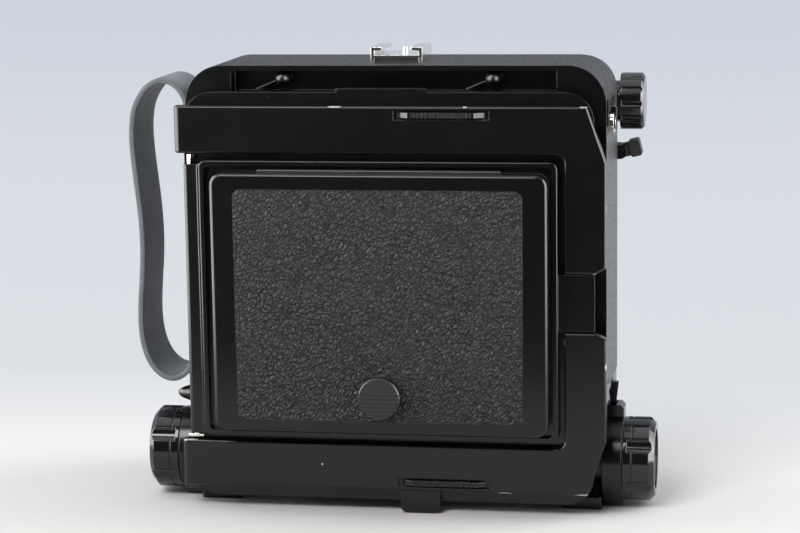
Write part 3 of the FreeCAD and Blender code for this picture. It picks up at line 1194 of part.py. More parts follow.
def brace_lower():
    return Part.makeCompound(pair(link(BRACE_LOW_X, *BRACE_Q, *brace_knee())))


def main():
    makers = [
        base_plate, tripod_bush, cheek_left, cheek_right, track_guides, shaft_bushes, base_screws,
        bed_hinge_pins, focus_lock_lever, focus_shaft, focus_knob_left, focus_knob_right, rack_shaft,
        focus_track, front_standard, lens_frame, lens_board, board_latch, rise_lock_knob,
        body_housing, rear_frame, side_leathers, top_leather, bellows_frame, bellows_rear,
        bellows_middle, bellows_front, accessory_shoe, shoe_block, strap, strap_screws,
        wire_catches, wall_lugs, strap_ring, housing_screws, bed_catch_knob, release_lever,
        tilt_lock_left, revolving_plate, revolving_ring, top_lock_plate,
        bottom_lock_plate, back_springs, spring_back_frame, ground_glass, glass_clips, bail_pins,
        hood_frame, hood_cover, hood_leather, hood_catch_button, hood_leaf_bottom, bed_panel,
        bed_rails, bed_leather, brace_upper, brace_lower,
    ]
    parts = {maker.__name__: maker() for maker in makers}
    parts["hood_leaf_left"] = hood_leaf_side(-1)
    parts["hood_leaf_right"] = hood_leaf_side(1)
    os.makedirs("parts", exist_ok=True)
    for name, shape in parts.items():
        shape.exportStep(f"parts/{name}.step")
    print(len(parts), "parts")


main()
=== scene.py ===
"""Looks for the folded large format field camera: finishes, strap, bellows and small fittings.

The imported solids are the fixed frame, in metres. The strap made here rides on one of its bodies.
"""

import math

import bmesh
import bpy
from mathutils import Matrix, Vector


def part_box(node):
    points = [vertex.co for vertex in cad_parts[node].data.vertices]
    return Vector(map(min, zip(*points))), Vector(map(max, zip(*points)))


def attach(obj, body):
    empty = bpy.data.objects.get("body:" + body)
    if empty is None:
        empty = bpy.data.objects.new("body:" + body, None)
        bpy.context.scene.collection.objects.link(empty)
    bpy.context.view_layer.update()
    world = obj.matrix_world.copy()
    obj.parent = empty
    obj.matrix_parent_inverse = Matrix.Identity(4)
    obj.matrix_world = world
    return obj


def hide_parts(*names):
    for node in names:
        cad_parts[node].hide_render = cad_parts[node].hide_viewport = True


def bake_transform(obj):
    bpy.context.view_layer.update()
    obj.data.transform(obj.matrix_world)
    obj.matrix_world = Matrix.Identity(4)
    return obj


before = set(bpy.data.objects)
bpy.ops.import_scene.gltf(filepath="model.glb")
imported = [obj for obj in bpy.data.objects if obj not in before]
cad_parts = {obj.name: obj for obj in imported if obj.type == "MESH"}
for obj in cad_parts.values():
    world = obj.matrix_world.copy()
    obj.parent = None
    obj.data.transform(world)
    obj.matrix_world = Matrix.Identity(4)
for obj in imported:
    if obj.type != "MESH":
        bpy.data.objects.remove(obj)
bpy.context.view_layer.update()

bl_info = {
    "name": "Field Camera Looks",
    "version": (1, 0, 0),
    "blender": (4, 5, 0),
    "location": "View3D > Sidebar > Field Camera",
    "description": "Finishes and soft parts for a folded large format field camera",
    "category": "Object",
}

MM = 0.001
AXIS_Z = 0.090


# Small helpers

def deselect():
    """Leaves nothing selected, so that the next operator acts on its own piece only."""
    if bpy.context.mode != "OBJECT":
        bpy.ops.object.mode_set(mode="OBJECT")
    bpy.ops.object.select_all(action="DESELECT")


def choose(obj):
    deselect()
    obj.select_set(True)
    bpy.context.view_layer.objects.active = obj


def settle(obj):
    """Puts a finished piece's place into its mesh, with the object at the origin."""
    choose(obj)
    bpy.ops.object.transform_apply(location=True, rotation=True, scale=True)


def apply_modifiers(obj):
    choose(obj)
    for modifier in list(obj.modifiers):
        bpy.ops.object.modifier_apply(modifier=modifier.name)


def named(obj, name):
    obj.name = name
    obj.data.name = name
    return obj


def select_where(obj, kind, test):
    """Selects the vertices, edges or faces of the mesh in edit mode that pass the test."""
    mesh = bmesh.from_edit_mesh(obj.data)
    bpy.context.tool_settings.mesh_select_mode = (kind == "VERT", kind == "EDGE", kind == "FACE")
    for group in (mesh.faces, mesh.edges, mesh.verts):
        for item in group:
            item.select = False
    items = {"VERT": mesh.verts, "EDGE": mesh.edges, "FACE": mesh.faces}[kind]
    for item in items:
        if test(item):
            item.select_set(True)
    mesh.select_flush_mode()
    bmesh.update_edit_mesh(obj.data)


def shade(obj, angle=0.6):
    choose(obj)
    bpy.ops.object.shade_smooth_by_angle(angle=angle)


def dress(obj, *materials):
    obj.data.materials.clear()
    for material in materials:
        obj.data.materials.append(material)


def finish_piece(obj, body, slot, *materials):
    settle(obj)
    dress(obj, *materials)
    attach(obj, body)
    return obj


# Shader building

def put(tree, kind, values=None, **settings):
    """Adds a node, with its settings and the plain values or links of its inputs."""
    node = tree.nodes.new(kind)
    for key, value in settings.items():
        setattr(node, key, value)
    for key, value in (values or {}).items():
        socket = node.inputs[key]
        if isinstance(value, bpy.types.NodeSocket):
            tree.links.new(value, socket)
        else:
            socket.default_value = value
    return node


def new_group(name, inputs, outputs):
    """A shader node group with named sockets, given as (name, kind, default)."""
    group = bpy.data.node_groups.new(name, "ShaderNodeTree")
    for label, kind, default in inputs:
        socket = group.interface.new_socket(label, in_out="INPUT", socket_type="NodeSocket" + kind)
        if default is not None:
            socket.default_value = default
    for label, kind in outputs:
        group.interface.new_socket(label, in_out="OUTPUT", socket_type="NodeSocket" + kind)
    given = group.nodes.new("NodeGroupInput").outputs
    out = group.nodes.new("NodeGroupOutput").inputs
    return group, given, out


def math_node(tree, operation, a, b=0.0, c=0.0, clamp=False):
    values = {0: a, 1: b, 2: c}
    return put(tree, "ShaderNodeMath", values, operation=operation, use_clamp=clamp).outputs[0]


def vector_node(tree, operation, a, b):
    return put(tree, "ShaderNodeVectorMath", {0: a, 1: b}, operation=operation).outputs[0]


def ramp(tree, value, low, high, to_low=0.0, to_high=1.0):
    return put(tree, "ShaderNodeMapRange", {"Value": value, "From Min": low, "From Max": high,
                                            "To Min": to_low, "To Max": to_high}).outputs[0]


def mix_colour(tree, factor, a, b):
    values = {0: factor, 6: a, 7: b}
    return put(tree, "ShaderNodeMix", values, data_type="RGBA", blend_type="MIX").outputs[2]


def noise(tree, vector, scale, detail=3.0, roughness=0.55):
    return put(tree, "ShaderNodeTexNoise", {"Vector": vector, "Scale": scale, "Detail": detail,
                                            "Roughness": roughness})


DUST = (0.35, 0.34, 0.33, 1)
WORN_THIN = (0.42, 0.41, 0.40, 1)
WORN_BARE = (0.50, 0.48, 0.46, 1)
# Edge colour of the mouldings: rubbed wear together with a painted edge highlight.
RUBBED_EDGE_AND_HIGHLIGHT = (0.16, 0.16, 0.16, 1)
GRAIN_LEAN = 0.65        # radians that the grains lean from upright, on the faces seen from behind
GRAIN_STRETCH = 1.6
GRAIN_WARP = 0.0022


def edge_group():
    """Rounded edges seen by the light, and a mask of the sharp edges of a solid."""
    tree, given, out = new_group(
        "Softened Edges",
        [("Radius", "Float", 0.0003), ("Reach", "Float", 0.0006)],
        [("Normal", "Vector"), ("Edge", "Float")])
    rounded = put(tree, "ShaderNodeBevel", {"Radius": given["Radius"]}, samples=6).outputs[0]
    wide = put(tree, "ShaderNodeBevel", {"Radius": given["Reach"]}, samples=6).outputs[0]
    flat = put(tree, "ShaderNodeNewGeometry").outputs["Normal"]
    dot = put(tree, "ShaderNodeVectorMath", {0: wide, 1: flat}, operation="DOT_PRODUCT").outputs["Value"]
    tree.links.new(rounded, out["Normal"])
    tree.links.new(ramp(tree, dot, 0.985, 0.75), out["Edge"])
    return tree


def chip_group():
    """A patch of worn paint with a ragged outline, as a mask round a point."""
    tree, given, out = new_group(
        "Worn Patch",
        [("Vector", "Vector", None), ("Centre", "Vector", (0, 0, 0)),
         ("Size", "Vector", (0.002, 0.002, 0.002))],
        [("Mask", "Float")])
    away = vector_node(tree, "SUBTRACT", given["Vector"], given["Centre"])
    scaled = vector_node(tree, "DIVIDE", away, given["Size"])
    reach = put(tree, "ShaderNodeVectorMath", {0: scaled}, operation="LENGTH").outputs["Value"]
    rag = noise(tree, given["Vector"], 1400.0, 2.0).outputs[0]
    ragged = math_node(tree, "MULTIPLY_ADD", math_node(tree, "SUBTRACT", rag, 0.5), 1.1, reach)
    tree.links.new(ramp(tree, ragged, 1.02, 0.94), out["Mask"])
    return tree


def enamel_group():
    """Handling marks of a painted casting: paint worn thin on edges, faint dust and fine rubs."""
    tree, given, out = new_group(
        "Handled Enamel",
        [("Vector", "Vector", None), ("Colour", "Color", (0.01, 0.01, 0.01, 1)), ("Edge", "Float", 0.0),
         ("Wear", "Float", 0.3), ("Roughness", "Float", 0.3)],
        [("Colour", "Color"), ("Roughness", "Float"), ("Bare", "Float")])
    broad = noise(tree, given["Vector"], 60.0, 4.0).outputs[0]
    fine = noise(tree, given["Vector"], 900.0, 3.0, 0.7).outputs[0]
    spots = put(tree, "ShaderNodeTexVoronoi", {"Vector": given["Vector"],
                                               "Scale": 260.0}).outputs["Distance"]
    drifted = math_node(tree, "ADD", spots, math_node(tree, "MULTIPLY", broad, 0.35))
    speck = ramp(tree, drifted, 0.215, 0.19)
    worn = math_node(tree, "MULTIPLY", ramp(tree, fine, 0.56, 0.66), given["Edge"])
    bare = math_node(tree, "MULTIPLY", worn, given["Wear"], clamp=True)
    dust = math_node(tree, "MULTIPLY", speck, 0.05)
    tint = mix_colour(tree, dust, given["Colour"], DUST)
    tree.links.new(mix_colour(tree, bare, tint, WORN_THIN), out["Colour"])
    uneven = math_node(tree, "SUBTRACT", broad, 0.5)
    varied = math_node(tree, "MULTIPLY_ADD", uneven, 0.10, given["Roughness"])
    tree.links.new(math_node(tree, "MULTIPLY_ADD", dust, 2.0, varied), out["Roughness"])
    tree.links.new(bare, out["Bare"])
    return tree


def grain_group():
    """Pebbled leather grain: raised irregular grains with creases between them."""
    tree, given, out = new_group(
        "Pebble Grain",
        [("Vector", "Vector", None), ("Scale", "Float", 700.0), ("Height", "Float", 0.0003),
         ("Normal", "Vector", (0, 0, 0))],
        [("Normal", "Vector"), ("Grain", "Float")])
    lean = {"Vector": given["Vector"], "Rotation": (0.0, GRAIN_LEAN, 0.0),
            "Scale": (1.0, 1.0, GRAIN_STRETCH)}
    leaned = put(tree, "ShaderNodeMapping", lean, vector_type="TEXTURE").outputs[0]
    bent = noise(tree, given["Vector"], 420.0, 2.0).outputs["Color"]
    warp = vector_node(tree, "SUBTRACT", bent, (0.5, 0.5, 0.5))
    warp = vector_node(tree, "MULTIPLY", warp, (GRAIN_WARP, GRAIN_WARP, GRAIN_WARP))
    place = vector_node(tree, "ADD", leaned, warp)
    rounded = {"Vector": place, "Scale": given["Scale"], "Smoothness": 0.25}
    cells = put(tree, "ShaderNodeTexVoronoi", rounded, feature="SMOOTH_F1").outputs["Distance"]
    creases = put(tree, "ShaderNodeTexVoronoi", {"Vector": place, "Scale": given["Scale"]},
                  feature="DISTANCE_TO_EDGE").outputs["Distance"]
    pore = noise(tree, given["Vector"], 3200.0, 2.0).outputs[0]
    dome = ramp(tree, cells, 0.75, 0.05, 0.55, 1.0)
    valley = put(tree, "ShaderNodeMapRange", {"Value": creases, "From Min": 0.0, "From Max": 0.26},
                 interpolation_type="SMOOTHSTEP").outputs[0]
    height = math_node(tree, "MULTIPLY", dome, valley)
    height = math_node(tree, "MULTIPLY_ADD", pore, 0.12, height)
    bump = put(tree, "ShaderNodeBump", {"Height": height, "Distance": given["Height"], "Strength": 1.0,
                                        "Normal": given["Normal"]}).outputs[0]
    tree.links.new(bump, out["Normal"])
    tree.links.new(height, out["Grain"])
    return tree


def rub_group():
    """Fine hairlines and smears on bright metal or gloss mouldings."""
    tree, given, out = new_group(
        "Fine Rubs",
        [("Vector", "Vector", None), ("Roughness", "Float", 0.2), ("Amount", "Float", 0.1)],
        [("Roughness", "Float")])
    stretched = put(tree, "ShaderNodeMapping", {"Vector": given["Vector"],
                                                "Scale": (1.0, 1.0, 14.0)}).outputs[0]
    lines = noise(tree, stretched, 900.0, 2.0).outputs[0]
    cloud = noise(tree, given["Vector"], 130.0, 3.0).outputs[0]
    both = math_node(tree, "SUBTRACT", math_node(tree, "ADD", lines, cloud), 1.0)
    varied = math_node(tree, "MULTIPLY_ADD", both, given["Amount"], given["Roughness"])
    tree.links.new(varied, out["Roughness"])
    return tree


def weave_group():
    """Close woven bellows cloth: crossing threads with a little slub."""
    tree, given, out = new_group(
        "Bellows Weave",
        [("Vector", "Vector", None), ("Pitch", "Float", 2400.0), ("Height", "Float", 0.0001)],
        [("Normal", "Vector"), ("Thread", "Float")])
    parts = put(tree, "ShaderNodeSeparateXYZ", {0: given["Vector"]}).outputs
    phases = [math_node(tree, "MULTIPLY", part, given["Pitch"]) for part in parts]
    waves = [math_node(tree, "ABSOLUTE", math_node(tree, "SINE", phase)) for phase in phases]
    threads = math_node(tree, "ADD", math_node(tree, "MULTIPLY", waves[0], waves[2]), waves[1])
    slub = noise(tree, given["Vector"], 600.0, 2.0).outputs[0]
    height = math_node(tree, "MULTIPLY", threads, ramp(tree, slub, 0.2, 0.8, 0.6, 1.0))
    bump = put(tree, "ShaderNodeBump", {"Height": height, "Distance": given["Height"]}).outputs[0]
    tree.links.new(bump, out["Normal"])
    tree.links.new(height, out["Thread"])
    return tree


GROUPS = {}


def grouped(tree, name, values):
    """Places one of the shared groups and fills or links its inputs."""
    node = tree.nodes.new("ShaderNodeGroup")
    node.node_tree = GROUPS[name]
    for key, value in values.items():
        if isinstance(value, bpy.types.NodeSocket):
            tree.links.new(value, node.inputs[key])
        else:
            node.inputs[key].default_value = value
    return node.outputs


def start_material(name):
    material = bpy.data.materials.new(name)
    material.use_nodes = True
    tree = material.node_tree
    shader = tree.nodes["Principled BSDF"]
    place = put(tree, "ShaderNodeTexCoord").outputs["Object"]
    return material, tree, shader, place


def wire(tree, shader, **sockets):
    for key, value in sockets.items():
        socket = shader.inputs[key.replace("_", " ")]
        if isinstance(value, bpy.types.NodeSocket):
            tree.links.new(value, socket)
        else:
            socket.default_value = value


def enamel(name, colour, roughness, wear, patches=(), radius=0.00035):
    """Black stove enamel with softened edges, and bare metal at the given (centre, size) patches."""
    material, tree, shader, place = start_material(name)
    edges = grouped(tree, "edges", {"Radius": radius, "Reach": 0.0005})
    paint = grouped(tree, "enamel", {"Vector": place, "Colour": (*colour, 1), "Edge": edges["Edge"],
                                     "Wear": wear, "Roughness": roughness})
    tint = paint["Colour"]
    bare = paint["Bare"]
    for centre, size in patches:
        mask = grouped(tree, "chip", {"Vector": place, "Centre": centre, "Size": size})["Mask"]
        tint = mix_colour(tree, mask, tint, WORN_BARE)
        bare = math_node(tree, "MAXIMUM", bare, mask)
    wire(tree, shader, Base_Color=tint, Roughness=paint["Roughness"], Normal=edges["Normal"],
         Metallic=math_node(tree, "MULTIPLY", bare, 0.6), IOR=1.42)
    return material


def leather(name, colour, scale, height, roughness, painted_grain_contrast, gloss):
    """Grained leather covering, with painted shade darkening its creases and painted light making the tops
    of its grains lighter; the tops are also smoother.
    """
    material, tree, shader, place = start_material(name)
    edges = grouped(tree, "edges", {"Radius": 0.0003, "Reach": 0.0006})
    grain = grouped(tree, "grain", {"Vector": place, "Scale": scale, "Height": height,
                                    "Normal": edges["Normal"]})
    cloud = noise(tree, place, 45.0, 3.0).outputs[0]
    # Painted shade and light: the darker colour goes into the creases and the lighter one onto the grain
    # tops; the lighter one also gives the random paler cloud.
    dark = tuple(c * (1 - painted_grain_contrast) for c in colour)
    light = tuple(c * (1 + painted_grain_contrast) for c in colour)
    tint = mix_colour(tree, ramp(tree, grain["Grain"], 0.22, 0.68), (*dark, 1), (*light, 1))
    tint = mix_colour(tree, ramp(tree, cloud, 0.3, 0.7, 0.0, 0.12), tint, (*light, 1))
    wire(tree, shader, Base_Color=tint, Normal=grain["Normal"], Specular_IOR_Level=gloss,
         Roughness=ramp(tree, grain["Grain"], 0.0, 1.0, roughness + 0.18, roughness))
    return material


def metal(name, colour, roughness, amount=0.10, radius=0.0002):
    material, tree, shader, place = start_material(name)
    edges = grouped(tree, "edges", {"Radius": radius, "Reach": 0.0004})
    rubs = grouped(tree, "rubs", {"Vector": place, "Roughness": roughness, "Amount": amount})
    cloud = noise(tree, place, 240.0, 3.0).outputs[0]
    dull = tuple(c * 0.72 for c in colour)
    tint = mix_colour(tree, ramp(tree, cloud, 0.35, 0.8, 0.0, 0.5), (*colour, 1), (*dull, 1))
    wire(tree, shader, Base_Color=tint, Roughness=rubs["Roughness"], Metallic=1.0, Normal=edges["Normal"])
    return material


def moulding(name, colour, roughness, wear=0.25, radius=0.0004):
    """A gloss or matt black moulding, its edges lightened partly as rubbed wear and partly as a painted
    highlight of the polished edge.
    """
    material, tree, shader, place = start_material(name)
    edges = grouped(tree, "edges", {"Radius": radius, "Reach": 0.0005})
    rubs = grouped(tree, "rubs", {"Vector": place, "Roughness": roughness, "Amount": 0.08})
    # Lightening of every edge: rubbed wear with a painted edge highlight.
    worn = math_node(tree, "MULTIPLY", edges["Edge"], wear)
    tint = mix_colour(tree, worn, (*colour, 1), RUBBED_EDGE_AND_HIGHLIGHT)
    wire(tree, shader, Base_Color=tint, Roughness=rubs["Roughness"], Normal=edges["Normal"])
    return material


def cloth(name, colour):
    material, tree, shader, place = start_material(name)
    weave = grouped(tree, "weave", {"Vector": place, "Pitch": 5200.0, "Height": 0.00012})
    # Painted shade and light: the cloth's colour is darkened in the hollows between the threads and
    # lightened on their crowns.
    tint = mix_colour(tree, ramp(tree, weave["Thread"], 0.2, 1.6), tuple(c * 0.5 for c in colour) + (1,),
                      tuple(c * 1.7 for c in colour) + (1,))
    wire(tree, shader, Base_Color=tint, Roughness=0.82, Normal=weave["Normal"], Sheen_Weight=0.15)
    return material


def ground_glass_finish(name):
    material, tree, shader, place = start_material(name)
    tooth = noise(tree, place, 5200.0, 2.0).outputs[0]
    bump = put(tree, "ShaderNodeBump", {"Height": tooth, "Distance": 0.00005}).outputs[0]
    wire(tree, shader, Base_Color=(0.86, 0.88, 0.87, 1), Roughness=ramp(tree, tooth, 0, 1, 0.45, 0.65),
         Normal=bump, Transmission_Weight=0.85)
    return material


def strap_face(name, colour):
    """Smooth strap leather with fine creases across the bends."""
    material, tree, shader, place = start_material(name)
    tilted = put(tree, "ShaderNodeMapping", {"Vector": place, "Scale": (1.0, 0.35, 1.0)}).outputs[0]
    creases = noise(tree, tilted, 700.0, 4.0, 0.65).outputs[0]
    grain = grouped(tree, "grain", {"Vector": place, "Scale": 1500.0, "Height": 0.00006})
    bump = put(tree, "ShaderNodeBump", {"Height": creases, "Distance": 0.00012,
                                        "Normal": grain["Normal"]}).outputs[0]
    cloud = noise(tree, place, 70.0, 3.0).outputs[0]
    tint = mix_colour(tree, ramp(tree, cloud, 0.3, 0.7), tuple(c * 0.82 for c in colour) + (1,),
                      tuple(c * 1.18 for c in colour) + (1,))
    wire(tree, shader, Base_Color=tint, Normal=bump, Roughness=ramp(tree, creases, 0.2, 0.8, 0.62, 0.48))
    return material


def strap_rim(name):
    """The strap's cut edge: dyed dark, rubbed through to pale fibre."""
    material, tree, shader, place = start_material(name)
    edges = grouped(tree, "edges", {"Radius": 0.0004, "Reach": 0.0009})
    fibre = noise(tree, place, 1100.0, 4.0, 0.7).outputs[0]
    broad = noise(tree, place, 120.0, 2.0).outputs[0]
    bare = math_node(tree, "MULTIPLY", ramp(tree, fibre, 0.30, 0.5), ramp(tree, broad, 0.3, 0.5, 0.6, 1.0))
    tint = mix_colour(tree, bare, (0.08, 0.077, 0.077, 1), (0.28, 0.265, 0.26, 1))
    tint = mix_colour(tree, ramp(tree, edges["Edge"], 0.35, 0.9), tint, (0.012, 0.011, 0.011, 1))
    bump = put(tree, "ShaderNodeBump", {"Height": fibre, "Distance": 0.0002}).outputs[0]
    wire(tree, shader, Base_Color=tint, Roughness=0.75, Normal=bump)
    return material


MATERIALS = {}
BLACK = (0.0038, 0.0042, 0.0045)

# Worn spots on the upper lock plate's top edge and corners, then on the lower plate
PLATE_REAR = -0.052
PLATE_TOP_PATCHES = [
    ((-0.0217, PLATE_REAR + 0.0006, 0.1698), (0.0028, 0.0010, 0.0004)),
    ((0.0318, PLATE_REAR + 0.0006, 0.1698), (0.0008, 0.0010, 0.0004)),
    ((0.0796, PLATE_REAR + 0.0009, 0.1699), (0.0014, 0.0012, 0.0004)),
    ((0.0888, PLATE_REAR + 0.0015, 0.1290), (0.0008, 0.0010, 0.0012)),
    ((0.0842, PLATE_REAR + 0.0010, 0.1022), (0.0016, 0.0010, 0.0007)),
]
PLATE_LOW_PATCHES = [
    ((-0.0864, PLATE_REAR + 0.0006, 0.0295), (0.0040, 0.0007, 0.0005)),
    ((-0.0295, PLATE_REAR + 0.0001, 0.0203), (0.0004, 0.0005, 0.0004)),
    ((0.0470, PLATE_REAR + 0.0004, 0.0100), (0.0030, 0.0009, 0.0005)),
    ((0.0800, PLATE_REAR + 0.0006, 0.0101), (0.0040, 0.0010, 0.0006)),
    ((0.0886, PLATE_REAR + 0.0012, 0.0640), (0.0008, 0.0010, 0.0018)),
    ((0.0717, PLATE_REAR + 0.0010, 0.0740), (0.0007, 0.0010, 0.0020)),
]


def build_materials(looks):
    """Makes the groups first, then one material for each finish."""
    for key, maker in (("edges", edge_group), ("chip", chip_group), ("enamel", enamel_group),
                       ("grain", grain_group), ("rubs", rub_group), ("weave", weave_group)):
        GROUPS[key] = maker()
    black = tuple(looks.enamel_colour)
    hide = tuple(looks.leather_colour)
    MATERIALS.update(
        enamel=enamel("black enamel", black, looks.enamel_roughness, 0.12),
        enamel_worn=enamel("black enamel, handled", black, looks.enamel_roughness, 0.5),
        plate_top=enamel("upper lock plate enamel", black, 0.22, 0.45, PLATE_TOP_PATCHES, radius=0.0003),
        plate_low=enamel("lower lock plate enamel", black, 0.24, 0.45, PLATE_LOW_PATCHES, radius=0.0003),
        satin=enamel("satin black anodising", (0.014, 0.014, 0.015), 0.42, 0.1, radius=0.0002),
        hood=enamel("hood enamel", black, 0.20, 0.15, radius=0.0003),
        hide=leather("leather covering", hide, looks.grain_scale, 0.0007, 0.32, 0.95, 0.17),
        hide_top=leather("leather covering, top", hide, looks.grain_scale * 0.9, 0.0005, 0.42, 0.5, 0.25),
        hide_side=leather("leather covering, sides", hide, looks.grain_scale * 0.9, 0.0003, 0.25, 0.5, 0.6),
        strap=strap_face("strap leather", tuple(looks.strap_colour)),
        strap_edge=strap_rim("strap cut edge"),
        knob=moulding("gloss black knob", (0.006, 0.006, 0.007), 0.11, 0.2),
        button=moulding("catch button", (0.008, 0.008, 0.009), 0.38, 0.12, 0.0001),
        matt=moulding("matt black", (0.022, 0.022, 0.023), 0.52, 0.2, 0.0003),
        nickel=metal("bright nickel", (0.80, 0.78, 0.73), 0.16),
        steel=metal("steel", (0.46, 0.46, 0.47), 0.32),
        dark_steel=metal("blackened steel", (0.05, 0.05, 0.052), 0.35),
        brass=metal("brass", (0.62, 0.47, 0.22), 0.28),
        glass=ground_glass_finish("ground glass"),
        bellows=cloth("bellows cloth", (0.02, 0.02, 0.022)),
    )


NODE_FINISH = {
    "enamel": "base_plate cheek_left cheek_right front_standard lens_frame body_housing rear_frame "
              "wall_lugs bed_panel revolving_plate spring_back_frame",
    "plate_top": "top_lock_plate",
    "plate_low": "bottom_lock_plate",
    "hood": "hood_cover",
    "enamel_worn": "focus_lock_lever tilt_lock_left",
    "satin": "track_guides focus_track lens_board bellows_frame revolving_ring hood_frame hood_leaf_left "
             "hood_leaf_right hood_leaf_bottom bed_rails",
    "hide": "hood_leather",
    "hide_top": "top_leather bed_leather",
    "hide_side": "side_leathers",
    "knob": "focus_knob_left focus_knob_right bed_catch_knob rise_lock_knob",
    "button": "hood_catch_button",
    "matt": "shoe_block release_lever",
    "nickel": "accessory_shoe bail_pins board_latch strap_ring",
    "steel": "tripod_bush focus_shaft base_screws bed_hinge_pins strap_screws back_springs "
             "glass_clips brace_upper brace_lower",
    "dark_steel": "wire_catches housing_screws",
    "brass": "shaft_bushes rack_shaft",
    "glass": "ground_glass",
}


# The strap

STRAP_Y = (-0.0260, 0.0060)
STRAP_T = 0.0024
STRAP_ROUTE = [
    (-88.1, 153.0), (-88.1, 160.0), (-88.6, 166.5), (-91.0, 173.3), (-94.4, 177.3), (-98.6, 179.2),
    (-103.2, 179.2), (-107.9, 176.8), (-111.6, 172.4), (-114.8, 166.4), (-116.1, 158.0),
    (-115.9, 147.5), (-114.6, 135.0), (-113.0, 120.5), (-112.5, 108.0), (-112.9, 97.0), (-114.0, 86.0),
    (-114.6, 76.0), (-114.2, 66.5), (-112.2, 58.6), (-108.6, 52.4), (-103.2, 48.4), (-97.5, 48.2),
    (-92.4, 51.6), (-89.0, 57.6), (-88.1, 64.0), (-88.1, 70.0),
]


def make_strap():
    """A flat leather band, extruded step by step along its route, thickened and rounded."""
    route = [Vector((x * MM, 0, z * MM)) for x, z in STRAP_ROUTE]
    deselect()
    bpy.ops.mesh.primitive_plane_add(size=1.0, location=(0, 0, 0))
    band = named(bpy.context.object, "strap_band")
    bpy.ops.object.mode_set(mode="EDIT")
    mesh = bmesh.from_edit_mesh(band.data)
    corners = sorted(mesh.verts, key=lambda v: (v.co.x, v.co.y))
    ends = [(route[0], 0), (route[0], 1), (route[1], 0), (route[1], 1)]
    for vert, (point, side) in zip(corners, ends):
        vert.co = (point.x, STRAP_Y[side], point.z)
    last = [corners[2], corners[3]]
    bmesh.update_edit_mesh(band.data)
    for here, there in zip(route[1:-1], route[2:]):
        select_where(band, "EDGE", lambda e, p=here: all((v.co - Vector((p.x, v.co.y, p.z))).length < 1e-5
                                                        for v in e.verts))
        bpy.ops.mesh.extrude_region_move(TRANSFORM_OT_translate={"value": there - here})
    bpy.ops.object.mode_set(mode="OBJECT")
    smooth = band.modifiers.new("smooth run", "SUBSURF")
    smooth.levels = smooth.render_levels = 3
    smooth.boundary_smooth = "PRESERVE_CORNERS"
    apply_modifiers(band)
    choose(band)
    bpy.ops.object.mode_set(mode="EDIT")
    bpy.ops.mesh.select_all(action="SELECT")
    bpy.ops.mesh.normals_make_consistent(inside=False)
    bpy.ops.object.mode_set(mode="OBJECT")
    farthest = min(band.data.polygons, key=lambda p: p.center.x)
    outward = farthest.normal.x < 0
    thick = band.modifiers.new("thickness", "SOLIDIFY")
    thick.thickness = STRAP_T
    thick.offset = -1.0 if outward else 1.0
    thick.material_offset_rim = 1
    thick.use_even_offset = True
    apply_modifiers(band)
    soften = band.modifiers.new("rounded edge", "BEVEL")
    soften.width = 0.0005
    soften.segments = 3
    soften.limit_method = "ANGLE"
    soften.angle_limit = 1.0
    apply_modifiers(band)
    shade(band, 0.8)
    finish_piece(band, "housing", "strap_leather", MATERIALS["strap"], MATERIALS["strap_edge"])
    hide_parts("strap")
    return band


# The bellows

BELLOWS_WALL = 0.0007
BELLOWS_CORNER = 0.006
# Half widths of the pleats' ridges and valleys, and their count
BELLOWS_REAR = (0.0616, 0.0565, 3)
BELLOWS_MIDDLE = (0.0562, 0.0512, 7)
BELLOWS_FRONT = (0.0538, 0.0496, 2)


def make_bellows(name, y0, y1, outer, inner, pleats):
    """A square pleated sleeve: one ring extruded along Y, in and out by turns."""
    deselect()
    bpy.ops.mesh.primitive_plane_add(size=2 * outer, location=(0, y0, AXIS_Z), rotation=(math.pi / 2, 0, 0))
    sleeve = named(bpy.context.object, name)
    bpy.ops.object.transform_apply(location=True, rotation=True, scale=True)
    bpy.ops.object.mode_set(mode="EDIT")
    bpy.ops.mesh.select_all(action="SELECT")
    bpy.ops.mesh.bevel(offset=BELLOWS_CORNER, segments=3, affect="VERTICES")
    bpy.ops.mesh.delete(type="ONLY_FACE")
    bpy.ops.mesh.select_all(action="SELECT")
    steps = 2 * pleats
    ratio = inner / outer
    for k in range(steps):
        scale = ratio if k % 2 == 0 else 1 / ratio
        bpy.ops.mesh.extrude_region_move(TRANSFORM_OT_translate={"value": (0, (y1 - y0) / steps, 0)})
        y = y0 + (y1 - y0) * (k + 1) / steps
        bpy.ops.transform.resize(value=(scale, 1, scale), center_override=(0, y, AXIS_Z))
    bpy.ops.mesh.select_all(action="SELECT")
    bpy.ops.mesh.normals_make_consistent(inside=False)
    bpy.ops.object.mode_set(mode="OBJECT")
    thick = sleeve.modifiers.new("cloth", "SOLIDIFY")
    thick.thickness = BELLOWS_WALL
    thick.offset = -1.0
    apply_modifiers(sleeve)
    shade(sleeve, 0.5)
    settle(sleeve)
    dress(sleeve, MATERIALS["bellows"])
    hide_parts(name)
    named(sleeve, name + "_cloth")
    return sleeve


def make_all_bellows():
    low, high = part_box("bellows_rear")
    rear = make_bellows("bellows_rear", low.y + 0.0001, high.y, *BELLOWS_REAR)
    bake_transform(rear)
    low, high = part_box("bellows_middle")
    middle = make_bellows("bellows_middle", low.y - 0.0002, high.y, *BELLOWS_MIDDLE)
    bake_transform(middle)
    low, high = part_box("bellows_front")
    front = make_bellows("bellows_front", low.y - 0.0002, high.y - 0.0001, *BELLOWS_FRONT)
    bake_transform(front)


# Stage, lamps and camera

CAMERA_PLACE = (0.1675, -1.0054, 0.2686)
CAMERA_YAW = 9.70
CAMERA_PITCH = 9.635
CAMERA_ROLL = -0.82
FOCAL_PX = 2400.0
IMAGE_W = 800


